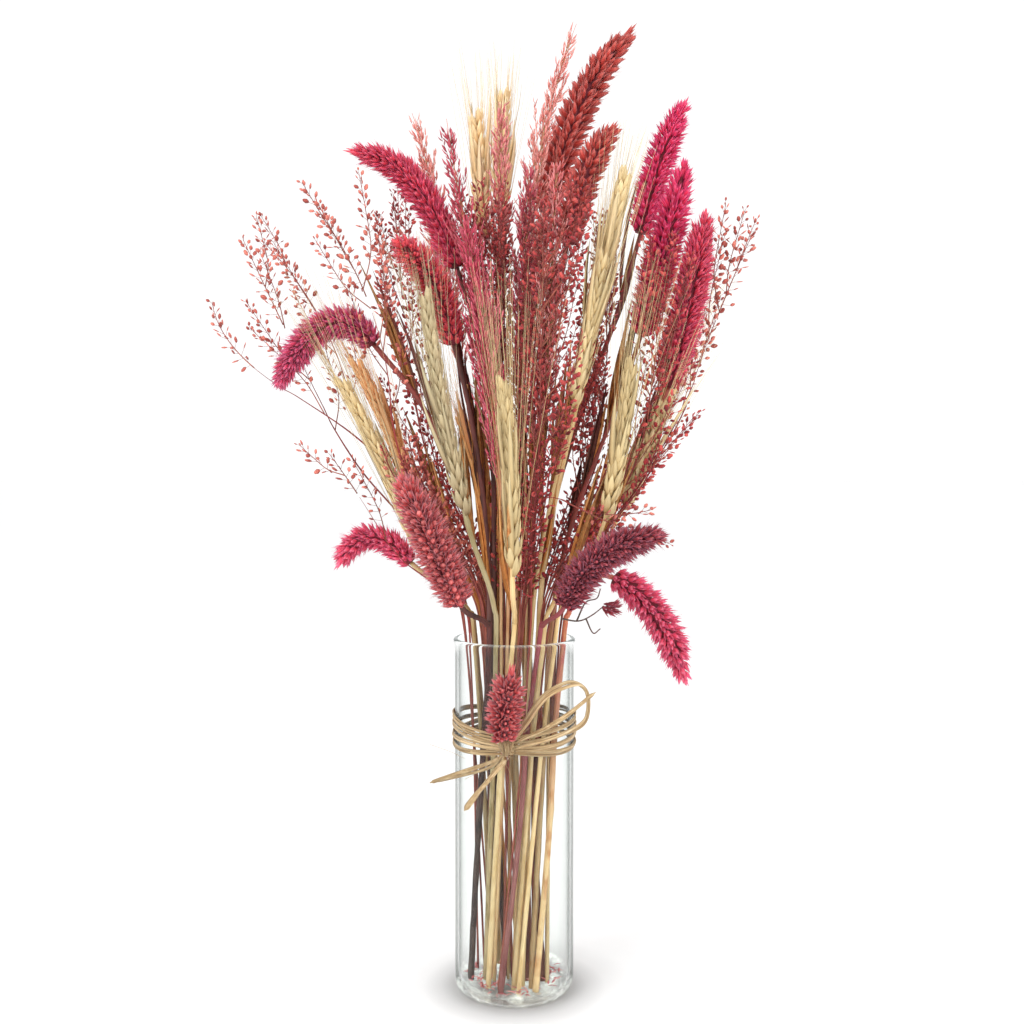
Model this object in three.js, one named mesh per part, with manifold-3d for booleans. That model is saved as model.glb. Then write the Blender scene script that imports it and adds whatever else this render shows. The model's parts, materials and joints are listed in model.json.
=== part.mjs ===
import * as THREE from 'three';
import Module from 'manifold-3d';
import { mergeVertices } from 'three/addons/utils/BufferGeometryUtils.js';

const wasm = await Module();
wasm.setup();

// A clear glass cylinder vase of dried flowers, in millimetres, with +Z up. The origin is the centre
// of the flat underside of the vase, and the front of the bouquet looks towards -Y.

const vaseSize = {
  radius: 32.5,
  height: 192,
  wall: 2,
  floor: 3.5,
  footRadius: 27,
  cornerRadius: 5.5,
  rimRadius: 33.2,
  flareHeight: 7,
  lipHeight: 2,
  facets: 28,
};

// Clearance between pieces that rest on each other, and the wider one kept among the plants
const seat = 0.3;
const plantGap = 0.55;

// How the stems stand in the glass: a hand-tied spiral with a waist between the foot and the rim
const spiral = {
  turn: THREE.MathUtils.degToRad(54),
  footRadius: 22.5,
  rimRadius: 27.5,
  rimHeight: 196,
  focusHeight: 110,
  widestSlope: 0.55,
  outermost: 0.97,
  spacing: 0.245,
  rounds: 300,
};

// Steps of a strand's line: in the glass, from the rim to the head, and along the head
const vaseSteps = 3;
const stemSteps = 5;
const headSteps = 8;
const headStart = vaseSteps + stemSteps;
const bendShare = 0.36;

// How the plants push each other clear, round by round, and are held near their own places
const settling = {
  rounds: 260,
  calmRounds: 208,
  homing: 0.03,
  longestPush: 2,
  roundsBetweenSearches: 6,
  searchMargin: 8,
  smoothing: 0.3,
  lastSmoothing: 0.08,
};

// Each head runs from its base over its middle to its tip, and reach is how far its florets stand out
const celosiaPlan = [
  { base: [18, 34, 430], mid: [40, 40, 495], tip: [71, 40, 538], reach: 11.5, colour: '#8e3145' },
  { base: [28, -8, 404], mid: [39, -9, 442], tip: [56, -10, 468], reach: 10, colour: '#9c3048' },
  { base: [74, 52, 422], mid: [88, 58, 471], tip: [103, 58, 502], reach: 9.5, colour: '#a3285a' },
  { base: [69, 6, 357], mid: [83, 4, 410], tip: [93, 2, 453], reach: 10.5, colour: '#8d1f45' },
  { base: [82, -12, 327], mid: [93, -14, 377], tip: [101, -18, 422], reach: 10.5, colour: '#86162f' },
  { base: [-31, 2, 393], mid: [-57, -4, 440], tip: [-90, -14, 449], reach: 10.5, colour: '#941f4a' },
  { base: [-32, -12, 350], mid: [-45, -26, 385], tip: [-62, -52, 396], reach: 10.5, colour: '#a01a2c' },
  { base: [-76, -2, 351], mid: [-101, -8, 360], tip: [-126, -16, 325], reach: 10, colour: '#a8285c' },
  { base: [-28, -48, 216], mid: [-42, -60, 250], tip: [-58, -60, 284], reach: 11.5, colour: '#a84a56' },
  { base: [-57, 8, 232], mid: [-80, 6, 246], tip: [-97, -2, 228], reach: 9, colour: '#a32c62' },
  { base: [26, -42, 214], mid: [46, -52, 241], tip: [78, -56, 250], reach: 10.5, colour: '#6e1730' },
  { base: [54, -6, 225], mid: [77, -14, 204], tip: [91, -20, 167], reach: 10, colour: '#b03a66' },
];

const wheatPlan = [
  { base: [-48, -8, 235], mid: [-69, -10, 286], tip: [-94, -12, 335], awns: 60, colour: '#b7a070' },
  { base: [-59, 40, 275], mid: [-78, 50, 318], tip: [-96, 56, 351], awns: 45, colour: '#a8763f' },
  { base: [-25, -30, 258], mid: [-37, -33, 316], tip: [-46, -36, 375], awns: 34, colour: '#a8a07a' },
  { base: [-1, -58, 229], mid: [-2, -62, 278], tip: [-6, -66, 328], awns: 60, colour: '#c2b981' },
  { base: [-18, 20, 411], mid: [-19, 22, 448], tip: [-22, 24, 484], awns: 28, colour: '#b39256' },
  { base: [-8, 44, 426], mid: [-7, 50, 469], tip: [-6, 54, 505], awns: 20, colour: '#bd9f62' },
  { base: [43, -14, 366], mid: [50, -16, 404], tip: [59, -18, 441], awns: 28, colour: '#b89c66' },
  { base: [30, -26, 314], mid: [39, -26, 356], tip: [46, -26, 396], awns: 45, colour: '#b09862' },
  { base: [46, -36, 256], mid: [54, -41, 298], tip: [59, -44, 340], awns: 60, colour: '#c9b878' },
  { base: [57, -14, 261], mid: [69, -16, 291], tip: [80, -18, 320], awns: 48, colour: '#bfa86c' },
  { base: [83, 52, 310], mid: [102, 62, 358], tip: [112, 66, 392], awns: 18, colour: '#a98e58' },
  { base: [-14, 36, 252], mid: [-21, 46, 283], tip: [-31, 54, 313], awns: 52, colour: '#a98a5c' },
];

const grassPlan = [
  { base: [13, 8, 449], mid: [22, 10, 490], tip: [34, 12, 527], colour: '#c45a55' },
  { base: [-43, 18, 425], mid: [-49, 20, 455], tip: [-57, 22, 482], colour: '#c9625a' },
  { base: [-25, -8, 406], mid: [-31, -9, 438], tip: [-36, -10, 469], colour: '#a8607a' },
  { base: [-8, 6, 400], mid: [-8, 7, 444], tip: [-7, 8, 488], colour: '#b8404e' },
  { base: [-12, -22, 320], mid: [-18, -24, 368], tip: [-27, -26, 415], colour: '#c4486e' },
  { base: [4, -8, 358], mid: [6, -8, 403], tip: [8, -8, 448], colour: '#b44a56' },
  { base: [18, -22, 356], mid: [20, -23, 402], tip: [22, -24, 449], colour: '#a8444e' },
  { base: [12, 60, 372], mid: [16, 66, 417], tip: [18, 70, 463], colour: '#b85866' },
];

const peppergrassPlan = [
  { base: [-115, -6, 321], mid: [-147, -10, 345], tip: [-160, -14, 371], colour: '#7c3a36' },
  { base: [-98, 4, 305], mid: [-121, 0, 353], tip: [-146, -2, 407], colour: '#86403c' },
  { base: [-96, 52, 324], mid: [-116, 60, 375], tip: [-149, 64, 419], colour: '#7a3638' },
  { base: [-65, -14, 310], mid: [-75, -16, 366], tip: [-102, -18, 418], colour: '#8a3f42' },
  { base: [-55, 52, 307], mid: [-65, 62, 372], tip: [-71, 68, 442], colour: '#74333a' },
  { base: [95, -4, 326], mid: [108, -6, 363], tip: [126, -8, 407], colour: '#8a4038' },
  { base: [48, 14, 311], mid: [53, 15, 360], tip: [57, 16, 409], colour: '#7c2c34' },
  { base: [68, -28, 304], mid: [73, -30, 346], tip: [76, -32, 388], colour: '#803238' },
  { base: [13, -34, 298], mid: [14, -36, 358], tip: [15, -38, 417], colour: '#702630' },
  { base: [-5, 12, 311], mid: [-9, 6, 366], tip: [-13, 0, 420], colour: '#6c2832' },
  { base: [24, -44, 268], mid: [43, -54, 261], tip: [67, -58, 263], colour: '#7a3038' },
  { base: [-67, -30, 247], mid: [-80, -32, 269], tip: [-95, -34, 291], colour: '#8a4a44' },
];

// The small plume that the raffia ties to the front of the glass, and the line of its own short stem
const tiedPlume = {
  base: [-8.5, -41, 151],
  mid: [-7, -46, 170],
  tip: [-3, -46, 191],
  reach: 10.5,
  colour: '#ad5560',
};
const tiedStemLine = [[-9.5, -34.1, 112], [-9.5, -34.1, 129], [-9.3, -35, 142]];
const tiedStemRadius = 1.5;

const kinds = {
  celosia: { stemRadius: 1.9, footRadius: 2.3 },
  wheat: { stemRadius: 1.3, footRadius: 1.6, reach: 6.4 },
  grass: { stemRadius: 1, footRadius: 1.3, reach: 5 },
  peppergrass: { stemRadius: 0.8, footRadius: 1.2, reach: 1.4 },
};

// Every head is narrower at its base, full in the middle and closed at its tip
const headShape = { narrowest: 0.35, start: 0.22, end: 0.98, bluntness: 0.55 };

// The rows of florets, grains, spikelets and seed stalks, as shares of the length of a head
const evenRows = (rows) => Array.from({ length: rows + 1 }, (_, row) => row / rows);
const stalkRows = (rows, foot) => (
  [...evenRows(rows).slice(0, -1).flatMap((share) => [share, share + foot]), 1]);

const plume = { sides: 6, rows: evenRows(11), coreShare: 0.52, turn: Math.PI / 6, leanShare: 0.75 };
const ear = {
  sides: 4,
  rows: evenRows(9),
  coreRadius: 3.6,
  grainRise: 2.4,
  grainLean: 0.62,
  awnRadius: 0.75,
  awnLean: 0.06,
  awnDrift: 0.06,
  shortestAwn: 0.75,
  awnRange: 0.3,
};
const panicle = { sides: 4, rows: evenRows(12), coreRadius: 1.5, leanShare: 0.7 };
const spray = {
  sides: 3,
  rows: stalkRows(9, 0.016),
  tipRadius: 0.6,
  stalkRadius: 0.4,
  lowestStalk: 13,
  highestStalk: 4.5,
  shortestStalk: 0.5,
  stalkRange: 0.6,
  stalkLean: 0.75,
  stalkDrift: 0.7,
  steepest: 0.5,
  seedWidth: 2.7,
  seedDepth: 0.8,
  seedBluntness: 0.7,
};

// An awn or a seed stalk that finds no room is tried again, a little shorter and leaning otherwise
const retry = { attempts: 14, awnShrink: 0.035, awnLean: 0.012, stalkShrink: 0.05 };
const stemSides = { plume: 5, raffia: 4 };

// The raffia: turns round the glass, a knot in front, one bow loop and three ends
const raffia = { level: 143, turns: 4, pitch: 4.8, dip: 3, width: 2.6, thickness: 1.3, strandRadius: 1.2 };
const knot = { centre: [0, -36.3, 140], size: [6.2, 3.4, 6.8] };
const bowLoop = [
  [0, -38, 141], [9, -41, 156], [17, -44, 169], [27, -44, 175], [36, -40, 171],
  [38, -36, 161], [34, -37, 153], [20, -40, 146], [4, -38, 138],
];
const shortEnd = [[3, -39, 142], [22, -41.5, 154], [42, -38, 170]];
const longEnds = [
  [[-3, -39, 137], [-12, -42, 132], [-42, -43, 123]],
  [[-2, -39, 135], [-13, -42, 123], [-24, -44, 110]],
];

const finishes = {
  glass: { color: '#dfe8e4', roughness: 0.05, metalness: 0, transparent: true, opacity: 0.35 },
  raffia: { color: '#c9ab78', roughness: 0.75, metalness: 0 },
  plumeStem: { color: '#5c3230', roughness: 0.8, metalness: 0 },
};
const dried = (colour) => ({ color: colour, roughness: 0.85, metalness: 0 });

const vector = (values) => new THREE.Vector3(...values);
const vectors = (rows) => rows.map(vector);
const between = (from, to, share) => from.clone().lerp(to, share);
const { lerp, clamp } = THREE.MathUtils;
const fullTurn = Math.PI * 2;
const upward = new THREE.Vector3(0, 0, 1);
const rightward = new THREE.Vector3(1, 0.1, 0.2);

// Repeatable chance, so that each run gives the same bouquet
function seededChance(seed) {
  let state = seed;
  return () => {
    state = (state + 0x6d2b79f5) | 0;
    let mixed = Math.imul(state ^ (state >>> 15), 1 | state);
    mixed = (mixed + Math.imul(mixed ^ (mixed >>> 7), 61 | mixed)) ^ mixed;
    return ((mixed ^ (mixed >>> 14)) >>> 0) / 4294967296;
  };
}

// Places of the stems in a unit disc, each on the side of its head, spread until none crowds another
function spreadInDisc(strands) {
  const spots = strands.map(({ base }) => {
    const lean = spiral.widestSlope * (base.z - spiral.focusHeight);
    return new THREE.Vector2(base.x / lean, base.y / lean).clampLength(0, spiral.outermost);
  });
  for (let round = 0; round < spiral.rounds; round += 1) {
    spots.forEach((spot, index) => {
      for (const other of spots.slice(index + 1)) {
        const apart = spot.clone().sub(other);
        const lack = spiral.spacing - apart.length();
        if (lack > 0) {
          apart.setLength(lack / 2);
          spot.add(apart).clampLength(0, 1);
          other.sub(apart).clampLength(0, 1);
        }
      }
    });
  }
  return spots;
}

function bezier(controls, share) {
  let points = controls;
  while (points.length > 1) {
    points = points.slice(1).map((point, index) => between(points[index], point, share));
  }
  return points[0];
}

// The curve of a head from its base through its middle to its tip
function headCurve({ base, mid, tip }, steps) {
  const crown = mid.clone().multiplyScalar(2).sub(between(base, tip, 0.5));
  return Array.from({ length: steps + 1 }, (_, step) => bezier([base, crown, tip], step / steps));
}

// The line of one strand: straight in the glass, a bend to the base of its head, then the head
function strandLine(strand, spot) {
  const centre = new THREE.Vector2(0, 0);
  const footSpot = spot.clone().rotateAround(centre, -spiral.turn).multiplyScalar(spiral.footRadius);
  const foot = new THREE.Vector3(footSpot.x, footSpot.y, vaseSize.floor + seat);
  const rim = new THREE.Vector3(spot.x * spiral.rimRadius, spot.y * spiral.rimRadius, spiral.rimHeight);
  const head = headCurve(strand, headSteps);
  const bend = rim.distanceTo(strand.base) * bendShare;
  const rise = rim.clone().sub(foot).setLength(bend).add(rim);
  const approach = head[0].clone().sub(head[1]).setLength(bend).add(strand.base);
  const points = [];
  for (let step = 0; step < vaseSteps; step += 1) {
    points.push(between(foot, rim, step / vaseSteps));
  }
  for (let step = 0; step < stemSteps; step += 1) {
    points.push(bezier([rim, rise, approach, strand.base], step / stemSteps));
  }
  return [...points, ...head];
}

// The thickness of a head at a share of its length
function swelling(share) {
  const { narrowest, start, end, bluntness } = headShape;
  return lerp(narrowest, 1, Math.sin(Math.PI * lerp(start, end, share)) ** bluntness);
}

// Thickness of a strand at each of its points, the florets of its head counted in
function thicknesses(strand) {
  const { stemRadius, footRadius } = kinds[strand.kind];
  return strand.points.map((_, index) => {
    if (index < headStart) {
      return lerp(footRadius, stemRadius, index / headStart);
    }
    return Math.max(stemRadius, strand.reach * swelling((index - headStart) / headSteps));
  });
}

// Shares along two segments, a to b and c to d, at which they come closest
function closestShares(a, b, c, d) {
  const first = b.clone().sub(a);
  const second = d.clone().sub(c);
  const offset = a.clone().sub(c);
  const firstSquare = first.lengthSq();
  const secondSquare = second.lengthSq();
  const cross = first.dot(second);
  const firstOffset = first.dot(offset);
  const secondOffset = second.dot(offset);
  const slant = firstSquare * secondSquare - cross * cross;
  let share = slant > 1e-9 ? clamp((cross * secondOffset - firstOffset * secondSquare) / slant, 0, 1) : 0;
  let otherShare = (cross * share + secondOffset) / secondSquare;
  if (otherShare < 0 || otherShare > 1) {
    otherShare = clamp(otherShare, 0, 1);
    share = clamp((cross * otherShare - firstOffset) / firstSquare, 0, 1);
  }
  return [share, otherShare];
}

// Pairs of segments of different strands that are near enough to meet within a few rounds
function nearPairs(strands, margin) {
  const segments = strands.flatMap((strand) => strand.points.slice(1).map((end, index) => {
    const start = strand.points[index];
    const thick = Math.max(strand.radii[index], strand.radii[index + 1]);
    return { strand, index, middle: between(start, end, 0.5), bound: start.distanceTo(end) / 2 + thick };
  }));
  return segments.flatMap((segment, place) => segments.slice(place + 1)
    .filter((other) => other.strand !== segment.strand
      && segment.middle.distanceTo(other.middle) < segment.bound + other.bound + margin)
    .map((other) => [segment, other]));
}

function pushApart([one, two]) {
  const [a, b] = one.strand.points.slice(one.index, one.index + 2);
  const [c, d] = two.strand.points.slice(two.index, two.index + 2);
  const [share, otherShare] = closestShares(a, b, c, d);
  const push = between(a, b, share).sub(between(c, d, otherShare));
  const radius = lerp(one.strand.radii[one.index], one.strand.radii[one.index + 1], share);
  const otherRadius = lerp(two.strand.radii[two.index], two.strand.radii[two.index + 1], otherShare);
  const lack = radius + otherRadius + plantGap - push.length();
  if (lack > 0) {
    push.setLength(lack / 2);
    one.strand.pushes[one.index].addScaledVector(push, 1 - share);
    one.strand.pushes[one.index + 1].addScaledVector(push, share);
    two.strand.pushes[two.index].addScaledVector(push, otherShare - 1);
    two.strand.pushes[two.index + 1].addScaledVector(push, -otherShare);
  }
}

// Even out how far neighbouring points have moved, so that a pushed stem bends and doesn't kink
function evenOut(shifts, strength) {
  const before = shifts.map((shift) => shift.clone());
  shifts.forEach((shift, index) => {
    const last = before[Math.max(0, index - 1)];
    const next = before[Math.min(before.length - 1, index + 1)];
    shift.lerp(between(last, next, 0.5), strength);
  });
}

function keepInGlass(strand) {
  const roomAtFloor = vaseSize.footRadius - vaseSize.wall;
  const roomAbove = vaseSize.radius - vaseSize.wall - 2 * seat;
  for (let index = 0; index <= vaseSteps; index += 1) {
    const home = strand.home[index];
    const room = index === 0 ? roomAtFloor : roomAbove;
    const place = new THREE.Vector2(home.x + strand.shifts[index].x, home.y + strand.shifts[index].y);
    place.clampLength(0, room - strand.radii[index]);
    strand.shifts[index].set(place.x - home.x, place.y - home.y, 0);
  }
}

// The plants are laid in where they belong and pushed clear of each other, as in a full vase
function settle(strands) {
  const { rounds, calmRounds, homing, longestPush, smoothing, lastSmoothing } = settling;
  let pairs = [];
  for (let round = 0; round < rounds; round += 1) {
    if (round % settling.roundsBetweenSearches === 0) {
      pairs = nearPairs(strands, settling.searchMargin);
    }
    for (const strand of strands) {
      strand.pushes = strand.points.map(() => new THREE.Vector3());
    }
    pairs.forEach(pushApart);
    const pull = homing * Math.max(0, 1 - round / calmRounds);
    const hold = new THREE.Vector3(1 - pull, 1 - pull / 3, 1 - pull);
    for (const strand of strands) {
      strand.shifts.forEach((shift, index) => {
        shift.add(strand.pushes[index].clampLength(0, longestPush)).multiply(hold);
      });
      evenOut(strand.shifts, round < calmRounds ? smoothing : lastSmoothing);
      keepInGlass(strand);
      strand.points = strand.home.map((home, index) => home.clone().add(strand.shifts[index]));
    }
  }
}

function placedHead(row) {
  return { ...row, base: vector(row.base), mid: vector(row.mid), tip: vector(row.tip) };
}

function plantStrands() {
  const plans = { celosia: celosiaPlan, wheat: wheatPlan, grass: grassPlan, peppergrass: peppergrassPlan };
  const strands = Object.entries(plans).flatMap(([kind, plan]) => plan.map((row, index) => (
    { kind, number: index + 1, reach: kinds[kind].reach, ...placedHead(row) })));
  const spots = spreadInDisc(strands);
  strands.forEach((strand, index) => {
    strand.home = strandLine(strand, spots[index]);
    strand.points = strand.home.map((point) => point.clone());
    strand.shifts = strand.home.map(() => new THREE.Vector3());
    strand.radii = thicknesses(strand);
  });
  settle(strands);
  return strands;
}

// A closed skin that is grown loop by loop. Each cell of it, the four corners between two loops, is
// either plain or the root of an outgrowth of its own. Corners run anticlockwise seen from outside.
class Skin {
  constructor(firstLoop, foot) {
    this.places = [];
    this.faces = [];
    this.firstLoop = firstLoop.map((place) => this.point(place));
    this.close([...this.firstLoop].reverse(), this.point(foot));
  }

  point(place) {
    this.places.push(place);
    return this.places.length - 1;
  }

  close(loop, tip) {
    loop.forEach((corner, side) => this.faces.push([corner, loop[(side + 1) % loop.length], tip]));
  }

  grow(start, { loops, tip, bud }) {
    let loop = start;
    loops.forEach((places, level) => {
      const next = places.map((place) => this.point(place));
      loop.forEach((corner, side) => {
        const after = (side + 1) % loop.length;
        const cell = [corner, loop[after], next[after], next[side]];
        const outgrowth = bud ? bud(level, side, cell.map((index) => this.places[index])) : null;
        if (outgrowth) {
          this.grow(cell, outgrowth);
        } else {
          this.faces.push([cell[0], cell[1], cell[2]], [cell[0], cell[2], cell[3]]);
        }
      });
      loop = next;
    });
    this.close(loop, this.point(tip));
  }

  geometry() {
    const geometry = new THREE.BufferGeometry();
    const values = this.places.flatMap((place) => place.toArray());
    geometry.setAttribute('position', new THREE.Float32BufferAttribute(values, 3));
    geometry.setIndex(this.faces.flat());
    return geometry;
  }
}

function directionAt(centres, index) {
  const before = centres[Math.max(0, index - 1)];
  const after = centres[Math.min(centres.length - 1, index + 1)];
  return after.clone().sub(before).normalize();
}

// Loops of a few sides round a line. The first direction is carried along, so that they turn only by
// the angle asked for. The first and the last loop may be cut square to a direction of their own.
function loopsAlong(centres, radii, sides, { turn = 0, firstAhead, lastAhead } = {}) {
  const across = rightward.clone();
  return centres.map((centre, index) => {
    const isFirst = index === 0;
    const isLast = index === centres.length - 1;
    const ahead = (isFirst && firstAhead) || (isLast && lastAhead) || directionAt(centres, index);
    across.addScaledVector(ahead, -across.dot(ahead)).normalize();
    const upright = ahead.clone().cross(across);
    return Array.from({ length: sides }, (_, side) => {
      const angle = (side / sides) * fullTurn + turn * index;
      return centre.clone()
        .addScaledVector(across, Math.cos(angle) * radii[index])
        .addScaledVector(upright, Math.sin(angle) * radii[index]);
    });
  });
}

// A tube with flat ends round a line
function tube(centres, radii, sides, ends) {
  const loops = loopsAlong(centres, radii, sides, ends);
  const skin = new Skin(loops[0], centres[0]);
  skin.grow(skin.firstLoop, { loops: loops.slice(1), tip: centres[centres.length - 1] });
  return skin.geometry();
}

// Points along the head of a strand
function headPoints(strand, shares) {
  const head = strand.points.slice(headStart);
  return shares.map((share) => {
    const place = share * headSteps;
    const index = Math.min(headSteps - 1, Math.floor(place));
    return between(head[index], head[index + 1], place - index);
  });
}

// Where one cell of a head lies, which way it faces, and the line of the head after it
function cellOf(head, shares, row, side, corners) {
  const middle = corners.reduce((sum, corner) => sum.add(corner), new THREE.Vector3()).divideScalar(4);
  const ahead = head[row + 1].clone().sub(head[row]);
  const outward = middle.clone().sub(between(head[row], head[row + 1], 0.5)).normalize();
  const rowLength = ahead.length();
  const later = head.slice(row + 1);
  ahead.normalize();
  return { row, side, share: shares[row], corners, middle, outward, ahead, rowLength, later };
}

const stepFrom = (place, direction, distance) => place.clone().addScaledVector(direction, distance);

// Four points round a place, which follow on from the corners of a cell
function smallLoop(centre, ahead, cell, width, depth = width) {
  const across = cell.corners[0].clone().sub(cell.middle);
  across.addScaledVector(ahead, -across.dot(ahead)).normalize();
  const upright = ahead.clone().cross(across);
  return [
    stepFrom(centre, across, width),
    stepFrom(centre, upright, depth),
    stepFrom(centre, across, -width),
    stepFrom(centre, upright, -depth),
  ];
}

function gapBetween(a, b, c, d) {
  const [share, otherShare] = closestShares(a, b, c, d);
  return between(a, b, share).distanceTo(between(c, d, otherShare));
}

// Whether a rod keeps its distance from a line of points
function passes(from, to, line, distance) {
  return line.slice(1).every((end, index) => gapBetween(from, to, line[index], end) > distance);
}

// Keeps awns and seed stalks clear of everything that is already there
class Clearance {
  constructor(strands) {
    this.rods = strands.flatMap((strand) => strand.points.slice(1).map((end, index) => ({
      from: strand.points[index],
      to: end,
      radius: Math.max(strand.radii[index], strand.radii[index + 1]),
      owner: strand,
    })));
  }

  isFree({ from, to, radius }, owner) {
    return this.rods.every((rod) => rod.owner === owner
      || gapBetween(from, to, rod.from, rod.to) > radius + rod.radius + seat);
  }

  // Takes the room of all these rods if it is free. The strand that they grow from is left out.
  take(rods, owner) {
    const free = rods.every((rod) => this.isFree(rod, owner));
    if (free) {
      this.rods.push(...rods);
    }
    return free;
  }
}

// A plume of pointed florets in spirals round a slim core
function plumeSkin(points, reach) {
  const { sides, rows, coreShare, turn, leanShare } = plume;
  const core = rows.map((share) => reach * coreShare * swelling(share));
  const loops = loopsAlong(points.slice(0, -1), core, sides, { turn });
  const skin = new Skin(loops[0], points[0]);
  const bud = (row, side, corners) => {
    const { share, middle, outward, ahead, rowLength } = cellOf(points, rows, row, side, corners);
    const rise = reach * (1 - coreShare) * swelling(share);
    return { loops: [], tip: stepFrom(stepFrom(middle, outward, rise), ahead, rowLength * leanShare) };
  };
  skin.grow(skin.firstLoop, { loops: loops.slice(1), tip: points.at(-1), bud });
  return skin.geometry();
}

// A stem and its head in one skin. Each cell of the head may bud.
function stemAndHead(strand, { sides, rows }, coreAt, bud) {
  const head = headPoints(strand, rows);
  const centres = [...strand.points.slice(0, headStart), ...head.slice(0, -1)];
  const coreRadii = rows.map((share) => (share === 0 ? kinds[strand.kind].stemRadius : coreAt(share)));
  const radii = [...strand.radii.slice(0, headStart), ...coreRadii];
  const loops = loopsAlong(centres, radii, sides, { firstAhead: upward });
  const skin = new Skin(loops[0], centres[0]);
  const headBud = (level, side, corners) => {
    const row = level - headStart;
    return row < 0 ? null : bud(cellOf(head, rows, row, side, corners));
  };
  skin.grow(skin.firstLoop, { loops: loops.slice(1), tip: head.at(-1), bud: headBud });
  return skin.geometry();
}

// A direction that strays a little by chance
function stray(direction, amount, chance) {
  const drift = new THREE.Vector3(chance() - 0.5, chance() - 0.5, chance() - 0.5);
  return direction.clone().addScaledVector(drift, amount).normalize();
}

// A bearded ear on its straw: rows of pointed grains, every other one with a long awn
function wheatSkin(strand, clearance, chance) {
  const bud = (cell) => {
    const { row, side, share, middle, outward, ahead, rowLength, later } = cell;
    const grainTip = stepFrom(stepFrom(middle, outward, ear.grainRise), ahead, rowLength * ear.grainLean);
    const plainGrain = { loops: [], tip: grainTip };
    if ((row + side) % 2 === 0) {
      return plainGrain;
    }
    const toTip = later.length * rowLength;
    for (let attempt = 0; attempt < retry.attempts; attempt += 1) {
      const beyond = strand.awns * (ear.shortestAwn + ear.awnRange * chance());
      const length = (toTip + beyond) * (1 - attempt * retry.awnShrink);
      const lean = ear.awnLean * (2 - share) + ear.awnDrift * chance() + retry.awnLean * attempt;
      const aim = stray(stepFrom(ahead, outward, lean), ear.awnDrift, chance);
      const awnTip = stepFrom(grainTip, aim, length);
      const nextGrain = stepFrom(grainTip, aim, rowLength);
      const rod = { from: grainTip, to: awnTip, radius: ear.awnRadius };
      const isClearOfOwnEar = passes(nextGrain, awnTip, later, ear.coreRadius + ear.grainRise);
      if (isClearOfOwnEar && clearance.take([rod], strand)) {
        return { loops: [smallLoop(grainTip, aim, cell, ear.awnRadius)], tip: awnTip };
      }
    }
    return plainGrain;
  };
  return stemAndHead(strand, ear, (share) => ear.coreRadius * swelling(share), bud);
}

// A slim dyed grass head: close pointed spikelets that stand up along the stalk
function grassSkin(strand) {
  const bud = ({ share, middle, outward, ahead, rowLength }) => {
    const rise = (strand.reach - panicle.coreRadius) * swelling(share);
    const spikeletTop = stepFrom(middle, outward, rise);
    return { loops: [], tip: stepFrom(spikeletTop, ahead, rowLength * panicle.leanShare) };
  };
  return stemAndHead(strand, panicle, (share) => panicle.coreRadius * swelling(share), bud);
}

// Flat round seed pods on thin stalks, all round a thin stem
function peppergrassSkin(strand, clearance, chance) {
  const { sides, tipRadius, stalkRadius, seedWidth, seedDepth } = spray;
  const bud = (cell) => {
    const { row, side, share, middle, outward, ahead, later } = cell;
    const isStalkRow = row > 0 && row % 2 === 0;
    if (!isStalkRow || (row / 2 + side) % sides === 0) {
      return null;
    }
    const stalk = lerp(spray.lowestStalk, spray.highestStalk, share);
    for (let attempt = 0; attempt < retry.attempts; attempt += 1) {
      const size = spray.shortestStalk + spray.stalkRange * chance();
      const length = stalk * size * (1 - attempt * retry.stalkShrink);
      const aim = stray(stepFrom(outward, ahead, spray.stalkLean), spray.stalkDrift, chance);
      const stalkStart = stepFrom(middle, aim, stalkRadius);
      const stalkEnd = stepFrom(middle, aim, length);
      const seedMiddle = stepFrom(stalkEnd, aim, seedWidth);
      const seedStart = stepFrom(stalkEnd, aim, seedWidth * spray.seedBluntness);
      const seedEnd = stepFrom(seedMiddle, aim, seedWidth * (1 - spray.seedBluntness));
      const rods = [
        { from: stalkStart, to: stalkEnd, radius: stalkRadius },
        { from: seedStart, to: seedEnd, radius: seedWidth },
      ];
      const stemRoom = kinds.peppergrass.stemRadius + seat;
      const isClearOfOwnStem = aim.dot(outward) > spray.steepest
        && passes(stepFrom(stalkStart, aim, stemRoom), stalkEnd, later, stemRoom + stalkRadius)
        && passes(seedStart, seedMiddle, later, stemRoom + seedWidth);
      if (isClearOfOwnStem && clearance.take(rods, strand)) {
        return {
          loops: [
            smallLoop(stalkEnd, aim, cell, stalkRadius),
            smallLoop(seedMiddle, aim, cell, seedWidth, seedDepth),
          ],
          tip: stepFrom(seedMiddle, aim, seedWidth),
        };
      }
    }
    return null;
  };
  return stemAndHead(strand, spray, (share) => lerp(kinds.peppergrass.stemRadius, tipRadius, share), bud);
}

function vaseGeometry() {
  const { radius, height, wall, floor, footRadius, cornerRadius, rimRadius, facets } = vaseSize;
  const { flareHeight, lipHeight } = vaseSize;
  const inner = radius - wall;
  const profile = [
    [0, 0],
    [footRadius, 0],
    [footRadius + cornerRadius * 0.7, cornerRadius * 0.3],
    [radius, cornerRadius],
    [radius, height - flareHeight],
    [rimRadius, height - lipHeight],
    [rimRadius - wall * 0.35, height],
    [rimRadius - wall, height - lipHeight * 0.15],
    [inner, height - flareHeight],
    [inner, floor + cornerRadius],
    [inner - cornerRadius * 0.3, floor + cornerRadius * 0.3],
    [inner - cornerRadius, floor],
    [0, floor],
  ].map(([across, up]) => new THREE.Vector2(across, up));
  return new THREE.LatheGeometry(profile, facets).rotateX(Math.PI / 2);
}

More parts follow.
